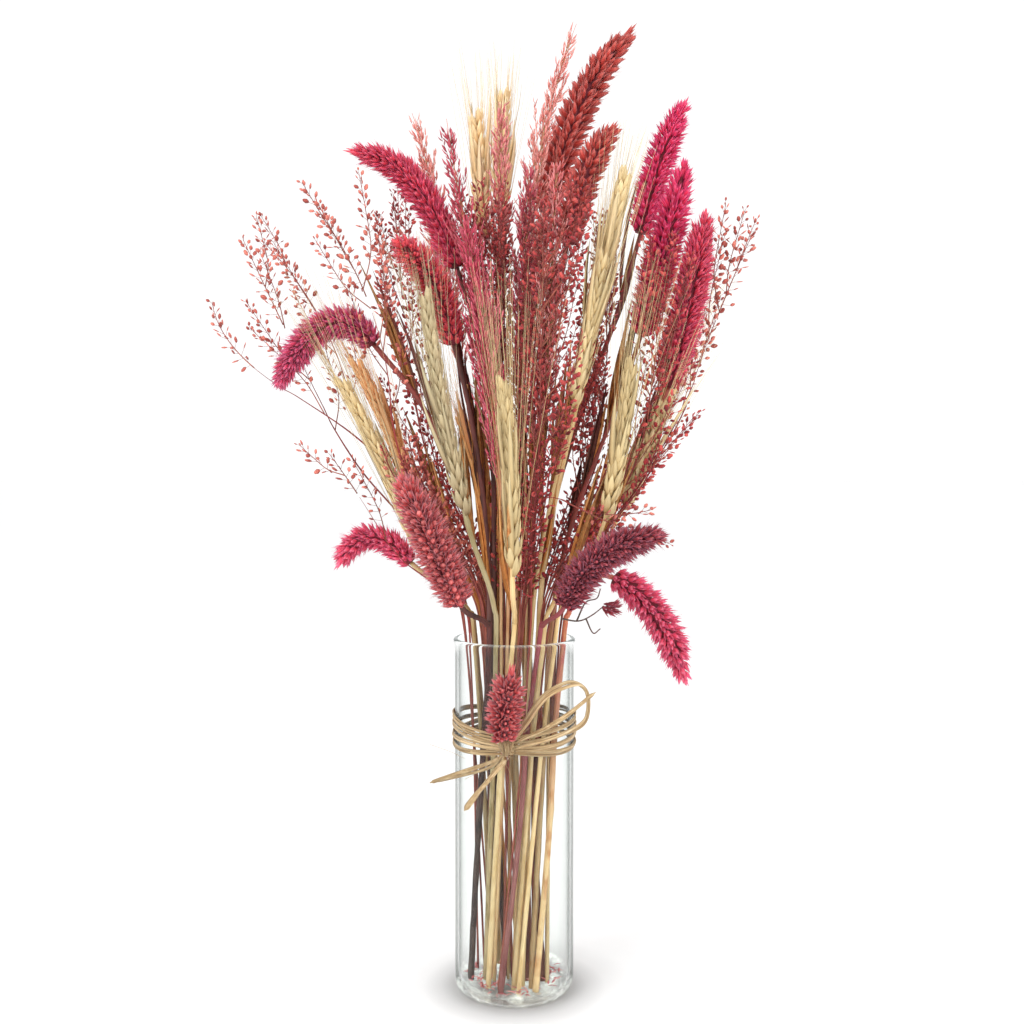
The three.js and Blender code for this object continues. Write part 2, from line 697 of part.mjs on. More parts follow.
// One turn of raffia round the glass, three-cornered, with its flat side to the glass. The turns
// close up in front and behind, and spread at the sides.
function turnGeometry(number) {
  const inner = vaseSize.radius + seat;
  const { facets } = vaseSize;
  const place = number - (raffia.turns - 1) / 2;
  const section = [[inner, -0.5], [inner + raffia.thickness, 0], [inner, 0.5]];
  const positions = [];
  for (let step = 0; step <= facets; step += 1) {
    const angle = (step / facets) * fullTurn;
    const closeness = lerp(0.5, 1, Math.abs(Math.cos(angle)));
    const dip = raffia.dip * Math.min(0, Math.sin(angle));
    const middle = raffia.level + place * raffia.pitch * closeness + dip;
    for (const [radius, up] of section) {
      positions.push(Math.cos(angle) * radius, Math.sin(angle) * radius, middle + up * raffia.width);
    }
  }
  const faces = [];
  for (let step = 0; step < facets; step += 1) {
    section.forEach((_, corner) => {
      const here = step * 3;
      const after = (corner + 1) % 3;
      faces.push(here + corner, here + 3 + corner, here + 3 + after);
      faces.push(here + corner, here + 3 + after, here + after);
    });
  }
  const geometry = new THREE.BufferGeometry();
  geometry.setAttribute('position', new THREE.Float32BufferAttribute(positions, 3));
  geometry.setIndex(faces);
  return geometry;
}

function knotGeometry() {
  const geometry = new THREE.IcosahedronGeometry(1, 1);
  return geometry.scale(...knot.size).translate(...knot.centre);
}

function strandGeometry(line) {
  const points = vectors(line);
  const radii = points.map(() => raffia.strandRadius);
  return tube(points, radii, stemSides.raffia);
}

function toSolid(geometry) {
  const bare = geometry.clone();
  bare.deleteAttribute('normal');
  bare.deleteAttribute('uv');
  const merged = mergeVertices(bare, 1e-3);
  const vertProperties = merged.attributes.position.array;
  const triVerts = new Uint32Array(merged.index.array);
  return new wasm.Manifold(new wasm.Mesh({ numProp: 3, vertProperties, triVerts }));
}

function toGeometry(solid) {
  const { vertProperties, triVerts } = solid.getMesh();
  const geometry = new THREE.BufferGeometry();
  geometry.setAttribute('position', new THREE.BufferAttribute(vertProperties, 3));
  geometry.setIndex(new THREE.BufferAttribute(triVerts, 1));
  return geometry;
}

function raffiaGeometry() {
  const turns = Array.from({ length: raffia.turns }, (_, number) => turnGeometry(number));
  const ends = [bowLoop, shortEnd, ...longEnds].map(strandGeometry);
  const solids = [knotGeometry(), ...turns, ...ends].map(toSolid);
  return toGeometry(solids.reduce((joined, solid) => joined.add(solid)));
}

const group = new THREE.Group();

function addMesh(name, geometry, finish) {
  const mesh = new THREE.Mesh(geometry, new THREE.MeshStandardMaterial(finish));
  mesh.name = name;
  group.add(mesh);
}

// A plume and its stem, which ends just under the plume, square to it
function addPlume(number, points, reach, colour, stemPoints, stemRadii) {
  const ahead = directionAt(points, 0);
  const stemLine = [...stemPoints, stepFrom(points[0], ahead, -seat)];
  const stem = tube(stemLine, stemRadii, stemSides.plume, { firstAhead: upward, lastAhead: ahead });
  addMesh(`celosia_head_${number}`, plumeSkin(points, reach), dried(colour));
  addMesh(`celosia_stem_${number}`, stem, finishes.plumeStem);
}

const strands = plantStrands();
const clearance = new Clearance(strands);
const chance = seededChance(7);
const skins = {
  wheat: (strand) => wheatSkin(strand, clearance, chance),
  grass: grassSkin,
  peppergrass: (strand) => peppergrassSkin(strand, clearance, chance),
};

addMesh('vase', vaseGeometry(), finishes.glass);
addMesh('raffia_tie', raffiaGeometry(), finishes.raffia);

for (const strand of strands) {
  if (strand.kind === 'celosia') {
    const { number, reach, colour } = strand;
    const stemRadii = [...strand.radii.slice(0, headStart), kinds.celosia.stemRadius];
    const stemPoints = strand.points.slice(0, headStart);
    addPlume(number, headPoints(strand, plume.rows), reach, colour, stemPoints, stemRadii);
  } else {
    addMesh(`${strand.kind}_${strand.number}`, skins[strand.kind](strand), dried(strand.colour));
  }
}

const tiedNumber = celosiaPlan.length + 1;
const tiedPoints = headCurve(placedHead(tiedPlume), plume.rows.length - 1);
const tiedRadii = [...tiedStemLine, tiedPlume.base].map(() => tiedStemRadius);
addPlume(tiedNumber, tiedPoints, tiedPlume.reach, tiedPlume.colour, vectors(tiedStemLine), tiedRadii);

export default group;
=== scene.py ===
import json
import math

import bpy
import numpy as np
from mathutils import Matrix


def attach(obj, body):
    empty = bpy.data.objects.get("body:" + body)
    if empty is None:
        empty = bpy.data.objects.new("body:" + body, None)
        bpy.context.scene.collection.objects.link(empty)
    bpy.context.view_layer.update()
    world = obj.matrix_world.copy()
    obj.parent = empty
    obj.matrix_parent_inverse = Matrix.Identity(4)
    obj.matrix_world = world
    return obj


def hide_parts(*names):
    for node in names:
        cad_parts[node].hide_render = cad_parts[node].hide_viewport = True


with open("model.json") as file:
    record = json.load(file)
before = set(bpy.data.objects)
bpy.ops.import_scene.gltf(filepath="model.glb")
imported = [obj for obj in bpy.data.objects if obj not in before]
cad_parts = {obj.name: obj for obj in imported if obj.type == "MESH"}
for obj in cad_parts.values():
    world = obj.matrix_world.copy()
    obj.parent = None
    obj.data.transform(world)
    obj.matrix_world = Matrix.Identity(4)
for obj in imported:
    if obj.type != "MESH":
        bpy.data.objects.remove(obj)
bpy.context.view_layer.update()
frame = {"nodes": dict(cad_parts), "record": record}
print("frame loaded:", len(frame["nodes"]), "nodes")

# All shapes are worked out in millimetres and scaled once, when their mesh is made
mm = 0.001
fullTurn = 2 * math.pi


def lerp(a, b, share):
    return a + (b - a) * share


def size(vectors):
    return np.linalg.norm(vectors, axis=-1, keepdims=True)


def unit(vectors):
    return vectors / np.maximum(size(vectors), 1e-9)


def dot(a, b):
    return (a * b).sum(-1, keepdims=True)


def square(vectors, ahead):
    return unit(vectors - ahead * dot(vectors, ahead))  # turned until it is square to ahead


def clampLength(vectors, most):
    return vectors * np.minimum(1, most / np.maximum(size(vectors), 1e-9))


def bezier(controls, shares):
    points = [np.repeat(np.array([c], float), len(shares), axis=0) for c in controls]
    while len(points) > 1:
        points = [lerp(a, b, shares[:, None]) for a, b in zip(points, points[1:])]
    return points[0]


# The vase, in millimetres from the middle of its underside
glass = dict(radius=32.5, height=192, wall=2, floor=3.5, footRadius=27, cornerRadius=5.5, rimRadius=33.2,
             flareHeight=7)


# A plant is placed by the base, middle and tip of its head, and drawn with the look that it names
def plant(base, mid, tip, look, **own):
    return dict(base=base, mid=mid, tip=tip, look=look, **own)


plumes = [
    plant((18, 34, 430), (40, 40, 495), (71, 40, 538), "brick", reach=11.5, lean=54),
    plant((28, -8, 404), (39, -9, 442), (56, -10, 468), "brick", reach=10, lean=54),
    plant((74, 52, 422), (88, 58, 471), (103, 58, 502), "cerise", reach=9.5, lean=52, girth=1.12),
    plant((69, 6, 357), (83, 4, 410), (93, 2, 453), "cerise", reach=10.5, lean=54, girth=1.06),
    plant((82, -12, 327), (93, -14, 377), (101, -18, 422), "crimson", reach=10.5, lean=52, girth=1.06),
    plant((-31, 2, 393), (-57, -4, 440), (-90, -14, 449), "crimson", reach=10.5, lean=54, girth=0.86),
    plant((-32, -12, 350), (-45, -26, 385), (-62, -52, 396), "scarlet", reach=10.5, lean=56),
    plant((-76, -2, 351), (-101, -8, 360), (-126, -16, 325), "magenta", reach=10, lean=54),
    plant((-28, -48, 216), (-42, -60, 250), (-58, -60, 284), "dusty", reach=11.5, lean=60),
    plant((-57, 8, 232), (-80, 6, 246), (-97, -2, 228), "rose", reach=9, lean=58, girth=0.9),
    plant((26, -42, 214), (46, -52, 241), (78, -56, 250), "maroon", reach=10.5, lean=62),
    plant((54, -6, 225), (77, -14, 204), (91, -20, 167), "rose", reach=10, lean=58),
]

ears = [
    plant((-48, -8, 235), (-69, -10, 286), (-94, -12, 335), "straw", awns=60),
    plant((-59, 40, 275), (-78, 50, 318), (-96, 56, 351), "rust", awns=45),
    plant((-25, -30, 258), (-37, -33, 316), (-46, -36, 375), "sage", awns=34),
    plant((-1, -58, 229), (-2, -62, 278), (-6, -66, 328), "pale", awns=60),
    plant((-18, 20, 411), (-19, 22, 448), (-22, 24, 484), "tan", awns=42, husks=28, girth=1.5),
    plant((-8, 44, 426), (-7, 50, 469), (-6, 54, 505), "tan", awns=34, husks=26, girth=1.5),
    plant((43, -14, 366), (50, -16, 404), (59, -18, 441), "straw", awns=28, husks=14),
    plant((30, -26, 314), (39, -26, 356), (46, -26, 396), "straw", awns=45, husks=14),
    plant((46, -36, 256), (54, -41, 298), (59, -44, 340), "pale", awns=60),
    plant((57, -14, 261), (69, -16, 291), (80, -18, 320), "straw", awns=48),
    plant((83, 52, 310), (102, 62, 358), (112, 66, 392), "tan", awns=18),
    plant((-14, 36, 252), (-21, 46, 283), (-31, 54, 313), "rust", awns=52),
]

grasses = [
    plant((13, 8, 449), (22, 10, 490), (34, 12, 527), "coral"),
    plant((-43, 18, 425), (-49, 20, 455), (-57, 22, 482), "coral"),
    plant((-25, -8, 406), (-31, -9, 438), (-36, -10, 469), "mauve"),
    plant((-8, 6, 400), (-8, 7, 444), (-7, 8, 488), "rosy"),
    plant((-12, -22, 320), (-18, -24, 368), (-27, -26, 415), "pink", fullness=1.5),
    plant((4, -8, 358), (6, -8, 403), (8, -8, 448), "mauve"),
    plant((18, -22, 356), (20, -23, 402), (22, -24, 449), "rosy"),
    plant((12, 60, 372), (16, 66, 417), (18, 70, 463), "coral"),
]

sprays = [
    plant((-115, -6, 321), (-147, -10, 345), (-160, -14, 371), "brown", branches=1),
    plant((-98, 4, 305), (-121, 0, 353), (-146, -2, 407), "brown", branches=4),
    plant((-96, 52, 324), (-116, 60, 375), (-149, 64, 419), "brown", branches=4),
    plant((-65, -14, 310), (-75, -16, 366), (-102, -18, 418), "brown", branches=7, threads=7),
    plant((-55, 52, 307), (-65, 62, 372), (-71, 68, 442), "red", branches=9),
    plant((95, -4, 326), (108, -6, 363), (126, -8, 407), "brown", branches=6, side=130, threads=2),
    plant((48, 14, 311), (53, 15, 360), (57, 16, 409), "red", branches=14, side=175, wide=1.0),
    plant((68, -28, 304), (73, -30, 346), (76, -32, 388), "red", branches=8),
    plant((13, -34, 298), (14, -36, 358), (15, -38, 417), "red", branches=18, side=30, wide=1.1),
    plant((-5, 12, 311), (-9, 6, 366), (-13, 0, 420), "red", branches=17),
    plant((24, -44, 268), (43, -54, 261), (67, -58, 263), "brown", branches=1),
    plant((-67, -30, 247), (-80, -32, 269), (-95, -34, 291), "brown", branches=2),
]

tiedPlume = plant((-8.5, -41, 151), (-7, -46, 170), (-3, -46, 191), "dusty", reach=10.5, lean=64)
tiedStalk = [(-6, -35, 135), (-6, -36, 141), (-6, -39, 146), (-6, -42, 152)]

# Steps of each strand's line in the glass, from the rim to its head, and along its head
strandSteps = dict(glass=3, stem=5, head=8)
headStart = strandSteps["glass"] + strandSteps["stem"]
headSteps = strandSteps["head"]

# Radii of each kind of stem, and how far its head reaches where its row doesn't say so
kinds = {
    "plume": dict(stemRadius=1.9, footRadius=2.3, reach=0),
    "ear": dict(stemRadius=1.3, footRadius=1.6, reach=6.4),
    "grass": dict(stemRadius=1, footRadius=1.3, reach=5),
    "spray": dict(stemRadius=0.8, footRadius=1.2, reach=1.4),
}

# How the stems cross in the glass, and how the plants are pushed clear of each other
bouquet = dict(turn=math.radians(54), footRadius=22.5, rimRadius=27.5, rimHeight=196, focusHeight=110,
               widestSlope=0.55, outermost=0.97, spacing=0.245, spreadRounds=300, bendShare=0.36, seat=0.3,
               plantGap=0.55, rounds=260, calmRounds=208, homing=0.03, depthEase=3, longestPush=2,
               searchEvery=6, searchMargin=8, smoothing=0.3, lastSmoothing=0.08)


def swelling(shares):
    return lerp(0.35, 1, np.sin(math.pi * lerp(0.22, 0.98, shares)) ** 0.55)  # full in the middle


def spreadInDisc(bases):
    lean = bouquet["widestSlope"] * (bases[:, 2:] - bouquet["focusHeight"])
    spots = [list(spot) for spot in clampLength(bases[:, :2] / lean, bouquet["outermost"])]

    def keepIn(spot):
        length = math.hypot(*spot)
        if length > 1:
            spot[0] /= length
            spot[1] /= length

    for _ in range(bouquet["spreadRounds"]):
        for index, spot in enumerate(spots):
            for other in spots[index + 1:]:
                x = spot[0] - other[0]
                y = spot[1] - other[1]
                apart = math.hypot(x, y)
                push = (bouquet["spacing"] - apart) / 2 / (apart or 1)
                if push > 0:
                    spot[0] += x * push
                    spot[1] += y * push
                    keepIn(spot)
                    other[0] -= x * push
                    other[1] -= y * push
                    keepIn(other)
    return np.array(spots)


def headCurve(row, steps=headSteps):
    base, mid, tip = (np.array(row[key], float) for key in ("base", "mid", "tip"))
    crown = 2 * mid - (base + tip) / 2
    return bezier([base, crown, tip], np.linspace(0, 1, steps + 1))


def strandLine(row, spot):
    cosTurn = math.cos(bouquet["turn"])
    sinTurn = math.sin(bouquet["turn"])
    footSpot = np.array([spot[0] * cosTurn + spot[1] * sinTurn, spot[1] * cosTurn - spot[0] * sinTurn])
    foot = np.array([*footSpot * bouquet["footRadius"], glass["floor"] + bouquet["seat"]])
    rim = np.array([*spot * bouquet["rimRadius"], bouquet["rimHeight"]])
    head = headCurve(row)
    bend = float(size(rim - head[0])[0]) * bouquet["bendShare"]
    rise = rim + unit(rim - foot) * bend
    approach = head[0] + unit(head[0] - head[1]) * bend
    inGlass = bezier([foot, rim], np.arange(strandSteps["glass"]) / strandSteps["glass"])
    above = bezier([rim, rise, approach, head[0]], np.arange(strandSteps["stem"]) / strandSteps["stem"])
    return np.concatenate([inGlass, above, head])


def thicknesses(row, kind):
    stemShares = np.arange(headStart) / headStart
    stem = lerp(kinds[kind]["footRadius"], kinds[kind]["stemRadius"], stemShares)
    reach = row.get("reach", kinds[kind]["reach"])
    head = np.maximum(kinds[kind]["stemRadius"], reach * swelling(np.arange(headSteps + 1) / headSteps))
    return np.concatenate([stem, head])


def closestShares(a, b, c, d):
    first = b - a
    second = d - c
    offset = a - c
    firstSquare = dot(first, first)
    secondSquare = dot(second, second)
    cross = dot(first, second)
    firstOffset = dot(first, offset)
    secondOffset = dot(second, offset)
    slant = firstSquare * secondSquare - cross * cross
    share = np.clip((cross * secondOffset - firstOffset * secondSquare) / np.maximum(slant, 1e-9), 0, 1)
    share = np.where(slant > 1e-9, share, 0)
    other = (cross * share + secondOffset) / secondSquare
    kept = np.clip(other, 0, 1)
    share = np.where(other == kept, share, np.clip((cross * kept - firstOffset) / firstSquare, 0, 1))
    return share, kept


def nearPairs(points, radii):
    starts, ends = points[:, :-1], points[:, 1:]
    middles = ((starts + ends) / 2).reshape(-1, 3)
    bounds = (size(ends - starts)[..., 0] / 2 + np.maximum(radii[:, :-1], radii[:, 1:])).ravel()
    owner = np.repeat(np.arange(len(points)), points.shape[1] - 1)
    apart = size(middles[:, None] - middles[None])[..., 0]
    near = (apart < bounds[:, None] + bounds + bouquet["searchMargin"]) & (owner[:, None] < owner)
    one, two = np.nonzero(near)
    perStrand = points.shape[1] - 1
    return (owner[one], one % perStrand), (owner[two], two % perStrand)


def pushesApart(points, radii, pairs):
    (one, i), (two, j) = pairs
    share, other = closestShares(points[one, i], points[one, i + 1], points[two, j], points[two, j + 1])
    push = (lerp(points[one, i], points[one, i + 1], share)
            - lerp(points[two, j], points[two, j + 1], other))
    room = (lerp(radii[one, i], radii[one, i + 1], share[:, 0])
            + lerp(radii[two, j], radii[two, j + 1], other[:, 0]) + bouquet["plantGap"])
    lack = np.maximum(0, room - size(push)[:, 0])[:, None]
    push = unit(push) * lack / 2
    pushes = np.zeros_like(points)
    np.add.at(pushes, (one, i), push * (1 - share))
    np.add.at(pushes, (one, i + 1), push * share)
    np.add.at(pushes, (two, j), push * (other - 1))
    np.add.at(pushes, (two, j + 1), -push * other)
    return pushes


def settle(home, radii):
    # The plants are laid in where they belong and pushed clear of each other, as in a full vase
    shifts = np.zeros_like(home)
    rooms = np.full(strandSteps["glass"] + 1, glass["radius"] - glass["wall"] - 2 * bouquet["seat"])
    rooms[0] = glass["footRadius"] - glass["wall"]
    held = slice(0, strandSteps["glass"] + 1)
    for turn in range(bouquet["rounds"]):
        points = home + shifts
        if turn % bouquet["searchEvery"] == 0:
            pairs = nearPairs(points, radii)
        pull = bouquet["homing"] * max(0, 1 - turn / bouquet["calmRounds"])
        shifts += clampLength(pushesApart(points, radii, pairs), bouquet["longestPush"])
        shifts *= np.array([1 - pull, 1 - pull / bouquet["depthEase"], 1 - pull])  # freer in depth
        strength = bouquet["smoothing"] if turn < bouquet["calmRounds"] else bouquet["lastSmoothing"]
        padded = np.concatenate([shifts[:, :1], shifts, shifts[:, -1:]], axis=1)
        shifts = lerp(shifts, (padded[:, :-2] + padded[:, 2:]) / 2, strength)
        place = home[:, held, :2] + shifts[:, held, :2]
        outward = np.maximum(size(place), 1e-9)
        place *= np.minimum(1, (rooms - radii[:, held])[..., None] / outward)
        shifts[:, held, :2] = place - home[:, held, :2]
        shifts[:, held, 2] = 0
    return home + shifts


plans = [("plume", row) for row in plumes] + [("ear", row) for row in ears]
plans += [("grass", row) for row in grasses] + [("spray", row) for row in sprays]
spots = spreadInDisc(np.array([row["base"] for _, row in plans], float))
homes = np.array([strandLine(row, spot) for (_, row), spot in zip(plans, spots)])
settled = settle(homes, np.array([thicknesses(row, kind) for kind, row in plans]))
strands = {}
for (kind, row), points in zip(plans, settled):
    strands.setdefault(kind, []).append(points)
print("bouquet laid out:", len(plans), "strands")


# A line through points, with directions that are carried along it without turning
def smoothLine(points, count):
    points = np.asarray(points, float)
    ends = [2 * points[0] - points[1], *points, 2 * points[-1] - points[-2]]
    padded = np.array(ends)
    places = np.linspace(0, len(points) - 1, count)
    index = np.minimum(places.astype(int), len(points) - 2)
    t = (places - index)[:, None]
    a, b, c, d = (padded[index + step] for step in range(4))
    return 0.5 * (2 * b + (c - a) * t + (2 * a - 5 * b + 4 * c - d) * t ** 2
                  + (3 * b - a - 3 * c + d) * t ** 3)


class Spine:
    def __init__(self, points, firstAcross=(1, 0.1, 0.2)):
        self.points = np.asarray(points, float)
        steps = size(np.diff(self.points, axis=0))[:, 0]
        self.shares = np.concatenate([[0], np.cumsum(steps)]) / steps.sum()
        self.length = steps.sum()
        self.aheads = unit(np.gradient(self.points, axis=0))
        across = np.array(firstAcross, float)
        self.acrosses = []
        for ahead in self.aheads:
            across = square(across, ahead)
            self.acrosses.append(across)
        self.acrosses = np.array(self.acrosses)

    def at(self, shares):
        shares = np.asarray(shares, float)
        place, ahead, across = (np.stack([np.interp(shares, self.shares, column) for column in values.T], -1)
                                for values in (self.points, self.aheads, self.acrosses))
        ahead = unit(ahead)
        across = square(across, ahead)
        return place, ahead, across, np.cross(ahead, across)


def radials(across, upright, angles):
    return np.cos(angles)[:, None] * across + np.sin(angles)[:, None] * upright


# Sections of blades and rods, as points round their middle
roundSection = {sides: np.array([(math.cos(fullTurn * side / sides), math.sin(fullTurn * side / sides))
                                 for side in range(sides)]) for sides in (3, 4, 5, 6, 8, 10, 12)}
keelSection = np.array([(1, 0), (0, 1), (-1, 0)])


class Shape:
    # Collects the closed bodies of one piece. The tone of a vertex holds its share of the way round,
    # its share of the way along and its body's own luck, which the finishes use.
    def __init__(self):
        self.points, self.tones, self.corners, self.counts, self.finishes = [], [], [], [], []
        self.used = 0

    def add(self, points, tones, quads, tris, finish):
        bodies, perBody = points.shape[:2]
        offsets = self.used + perBody * np.arange(bodies)[:, None, None]
        for faces in (quads, tris):
            if len(faces):
                self.corners.append((np.asarray(faces)[None] + offsets).ravel())
                self.counts.append(np.full(bodies * len(faces), len(faces[0])))
                self.finishes.append(np.full(bodies * len(faces), finish))
        self.points.append(points.reshape(-1, 3))
        self.tones.append(tones.reshape(-1, 3))
        self.used += bodies * perBody

    def rings(self, centres, acrosses, outs, ringSection, tips, luck, alongs, finish):
        # centres: bodies x rows x 3; ringSection: bodies x rows x sides x 2; tips: bodies x 2 x 3
        bodies, rows = centres.shape[:2]
        sides = ringSection.shape[2]
        ring = (centres[:, :, None] + acrosses[:, :, None] * ringSection[..., :1]
                + outs[:, :, None] * ringSection[..., 1:])
        points = np.concatenate([tips[:, :1], ring.reshape(bodies, -1, 3), tips[:, 1:]], axis=1)
        turnShares = np.tile(np.arange(sides) / sides, rows)
        tones = np.zeros_like(points)
        tones[:, 1:-1, 0] = turnShares
        tones[:, 1:-1, 1] = np.repeat(alongs, sides, axis=-1)
        tones[:, 0, 1] = alongs[..., 0]
        tones[:, -1, 1] = alongs[..., -1]
        tones[..., 2] = luck[:, None]
        after = np.roll(np.arange(sides), -1)
        here = np.arange(sides)
        quads = [(1 + row * sides + a, 1 + row * sides + b, 1 + (row + 1) * sides + b,
                  1 + (row + 1) * sides + a) for row in range(rows - 1) for a, b in zip(here, after)]
        last = 1 + rows * sides
        tris = [(0, 1 + b, 1 + a) for a, b in zip(here, after)]
        tris += [(last, last - sides + a, last - sides + b) for a, b in zip(here, after)]
        self.add(points, tones, quads, tris, finish)

    def blades(self, roots, aheads, outs, lengths, widths, depths, profile, section=keelSection, bow=0,
               curl=0, luck=0.5, finish=0):
        # Many blades at once. A profile row is a share of the length with a share of the width.
        count = len(roots)
        lengths, widths, depths, bow, curl, luck = (
            np.broadcast_to(np.asarray(values, float), count) for values in
            (lengths, widths, depths, bow, curl, luck))
        aheads = unit(aheads)
        outs = square(outs, aheads)
        shares, fullness = np.array(profile, float).T

        def centreAt(share):
            rise = 4 * share * (1 - share) * bow[:, None] + share ** 2 * curl[:, None]
            return (roots[:, None] + aheads[:, None] * (share * lengths[:, None])[..., None]
                    + outs[:, None] * (rise * lengths[:, None])[..., None])

        rings = np.stack([widths[:, None] * fullness, depths[:, None] * fullness], -1)[:, :, None]
        acrosses = np.repeat(np.cross(outs, aheads)[:, None], len(shares), axis=1)
        tips = np.concatenate([centreAt(np.zeros((1, 1))), centreAt(np.ones((1, 1)))], axis=1)
        self.rings(centreAt(shares[None]), acrosses, np.repeat(outs[:, None], len(shares), axis=1),
                   rings * section, tips, luck, np.broadcast_to(shares, (count, len(shares))), finish)

    def rods(self, starts, ends, startRadius, endRadius, bend=0, section=roundSection[3], rows=4, luck=0.5,
             finish=0, outs=None):
        # Many thin tapered rods at once, each bent a little
        spans = ends - starts
        lengths = size(spans)[:, 0]
        if outs is None:
            outs = np.cross(spans, (0.31, 0.17, 0.93))
        taper = np.linspace(0, 1, rows)
        shares = taper * 0.995  # the last ring stands just short of the tip
        profile = np.stack([shares, lerp(1, endRadius / startRadius, taper)], -1)
        bend = np.broadcast_to(np.asarray(bend, float), len(starts))
        self.blades(starts, spans, outs, lengths, startRadius, startRadius, profile, section, bow=bend,
                    luck=luck, finish=finish)

    def loft(self, spine, sections, luck=0.5, finish=0):
        # One long body with a section at each point of its spine
        sections = np.broadcast_to(sections, (len(spine.points), *np.shape(sections)[-2:]))
        outs = np.cross(spine.aheads, spine.acrosses)
        tips = spine.points[None, [0, -1]]
        self.rings(spine.points[None], spine.acrosses[None], outs[None], sections[None], tips,
                   np.array([luck]), spine.shares[None], finish)

    def build(self, name, finishes, slot, *nodes):
        mesh = bpy.data.meshes.new(name)
        points = np.concatenate(self.points) * mm
        corners = np.concatenate(self.corners)
        counts = np.concatenate(self.counts)
        mesh.vertices.add(len(points))
        mesh.vertices.foreach_set("co", points.ravel())
        mesh.loops.add(len(corners))
        mesh.loops.foreach_set("vertex_index", corners)
        mesh.polygons.add(len(counts))
        mesh.polygons.foreach_set("loop_start", np.cumsum(counts) - counts)
        for finish in finishes:
            mesh.materials.append(finish)
        mesh.polygons.foreach_set("material_index", np.concatenate(self.finishes))
        mesh.update(calc_edges=True)
        mesh.shade_smooth()
        tone = mesh.attributes.new("tone", "FLOAT_VECTOR", "POINT")
        tone.data.foreach_set("vector", np.concatenate(self.tones).astype(np.float32).ravel())
        piece = bpy.data.objects.new(name, mesh)
        bpy.context.scene.collection.objects.link(piece)
        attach(piece, "root")
        if nodes:
            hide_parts(*nodes)
        return piece


# Shader maths as plain expressions: a wire is one output socket
class Wire:
    def __init__(self, finish, socket):
        self.finish = finish
        self.socket = socket

    def math(self, operation, first, second):
        return self.finish.node("ShaderNodeMath", {"operation": operation}, {0: first, 1: second})

    def __add__(self, other):
        return self.math("ADD", self, other)

    def __radd__(self, other):
        return self.math("ADD", other, self)

    def __sub__(self, other):
        return self.math("SUBTRACT", self, other)

    def __rsub__(self, other):
        return self.math("SUBTRACT", other, self)

    def __mul__(self, other):
        return self.math("MULTIPLY", self, other)

    def __rmul__(self, other):
        return self.math("MULTIPLY", other, self)

    def __pow__(self, other):
        return self.math("POWER", self, other)


def tint(code):
    parts = [int(code[place:place + 2], 16) / 255 for place in (1, 3, 5)]
    return (*(part / 12.92 if part <= 0.04045 else ((part + 0.055) / 1.055) ** 2.4 for part in parts), 1)


def tints(codes):
    return [tint(code) for code in codes]


def grey(value):
    return (value, value, value, 1)


black = grey(0)
white = grey(1)


# One material: its nodes are added by node(), and feed() sets a socket or links a wire to it
class Finish:
    def __init__(self, name, uniform=None):
        self.material = bpy.data.materials.new(name)
        self.material.use_nodes = True
        self.tree = self.material.node_tree
        self.shader = self.tree.nodes["Principled BSDF"]
        for socket, value in (uniform or {}).items():
            self.feed(self.shader.inputs[socket], value)

    def feed(self, socket, value):
        if isinstance(value, Wire):
            self.tree.links.new(value.socket, socket)
        else:
            socket.default_value = value

    def node(self, kind, settings=None, sockets=None, output=0, into=None):
        node = self.tree.nodes.new(kind)
        for setting, value in (settings or {}).items():
            if setting == "stops":
                for place, (position, colour) in enumerate(value):
                    stop = node.color_ramp.elements[place] if place < 2 else node.color_ramp.elements.new(1)
                    stop.position = position
                    stop.color = colour
            else:
                setattr(node, setting, value)
        for socket, value in (sockets or {}).items():
            self.feed(node.inputs[socket], value)
        if into:
            self.tree.links.new(node.outputs[output], self.tree.nodes["Material Output"].inputs[into])
        return Wire(self, node.outputs[output])

    def tone(self):
        wire = self.node("ShaderNodeAttribute", {"attribute_name": "tone"}, output="Vector")
        return wire, *self.parts(wire)

    def parts(self, vector):
        return [self.node("ShaderNodeSeparateXYZ", {}, {0: vector}, output) for output in "XYZ"]

    def noise(self, vector, scale, detail=2.0, stretch=(1, 1, 1)):
        stretched = self.node("ShaderNodeVectorMath", {"operation": "MULTIPLY"}, {0: vector, 1: stretch})
        return self.node("ShaderNodeTexNoise", {}, {"Vector": stretched, "Scale": scale, "Detail": detail})

    def place(self):
        return self.node("ShaderNodeTexCoord", output="Object")

    def mix(self, factor, first, second, blend="MIX"):
        return self.node("ShaderNodeMix", {"data_type": "RGBA", "blend_type": blend},
                         {0: factor, 6: first, 7: second}, 2)

    def ramp(self, value, *stops):
        return self.node("ShaderNodeValToRGB", {"stops": stops}, {0: value})

    def wear(self, colour, amount):
        # Darkens or lightens a colour by a value that lies round 0.5
        shade = self.ramp(amount, (0.25, grey(0.62)), (0.75, grey(1.3)))
        return self.mix(1.0, colour, shade, "MULTIPLY")

    def dress(self, colour, roughness, height=None, depth=0.0002, strength=0.5):
        self.feed(self.shader.inputs["Base Color"], colour)
        self.feed(self.shader.inputs["Roughness"], roughness)
        if height is not None:
            sockets = {"Strength": strength, "Distance": depth, "Height": height}
            bump = self.node("ShaderNodeBump", {}, sockets, "Normal")
            self.feed(self.shader.inputs["Normal"], bump)
        return self.material


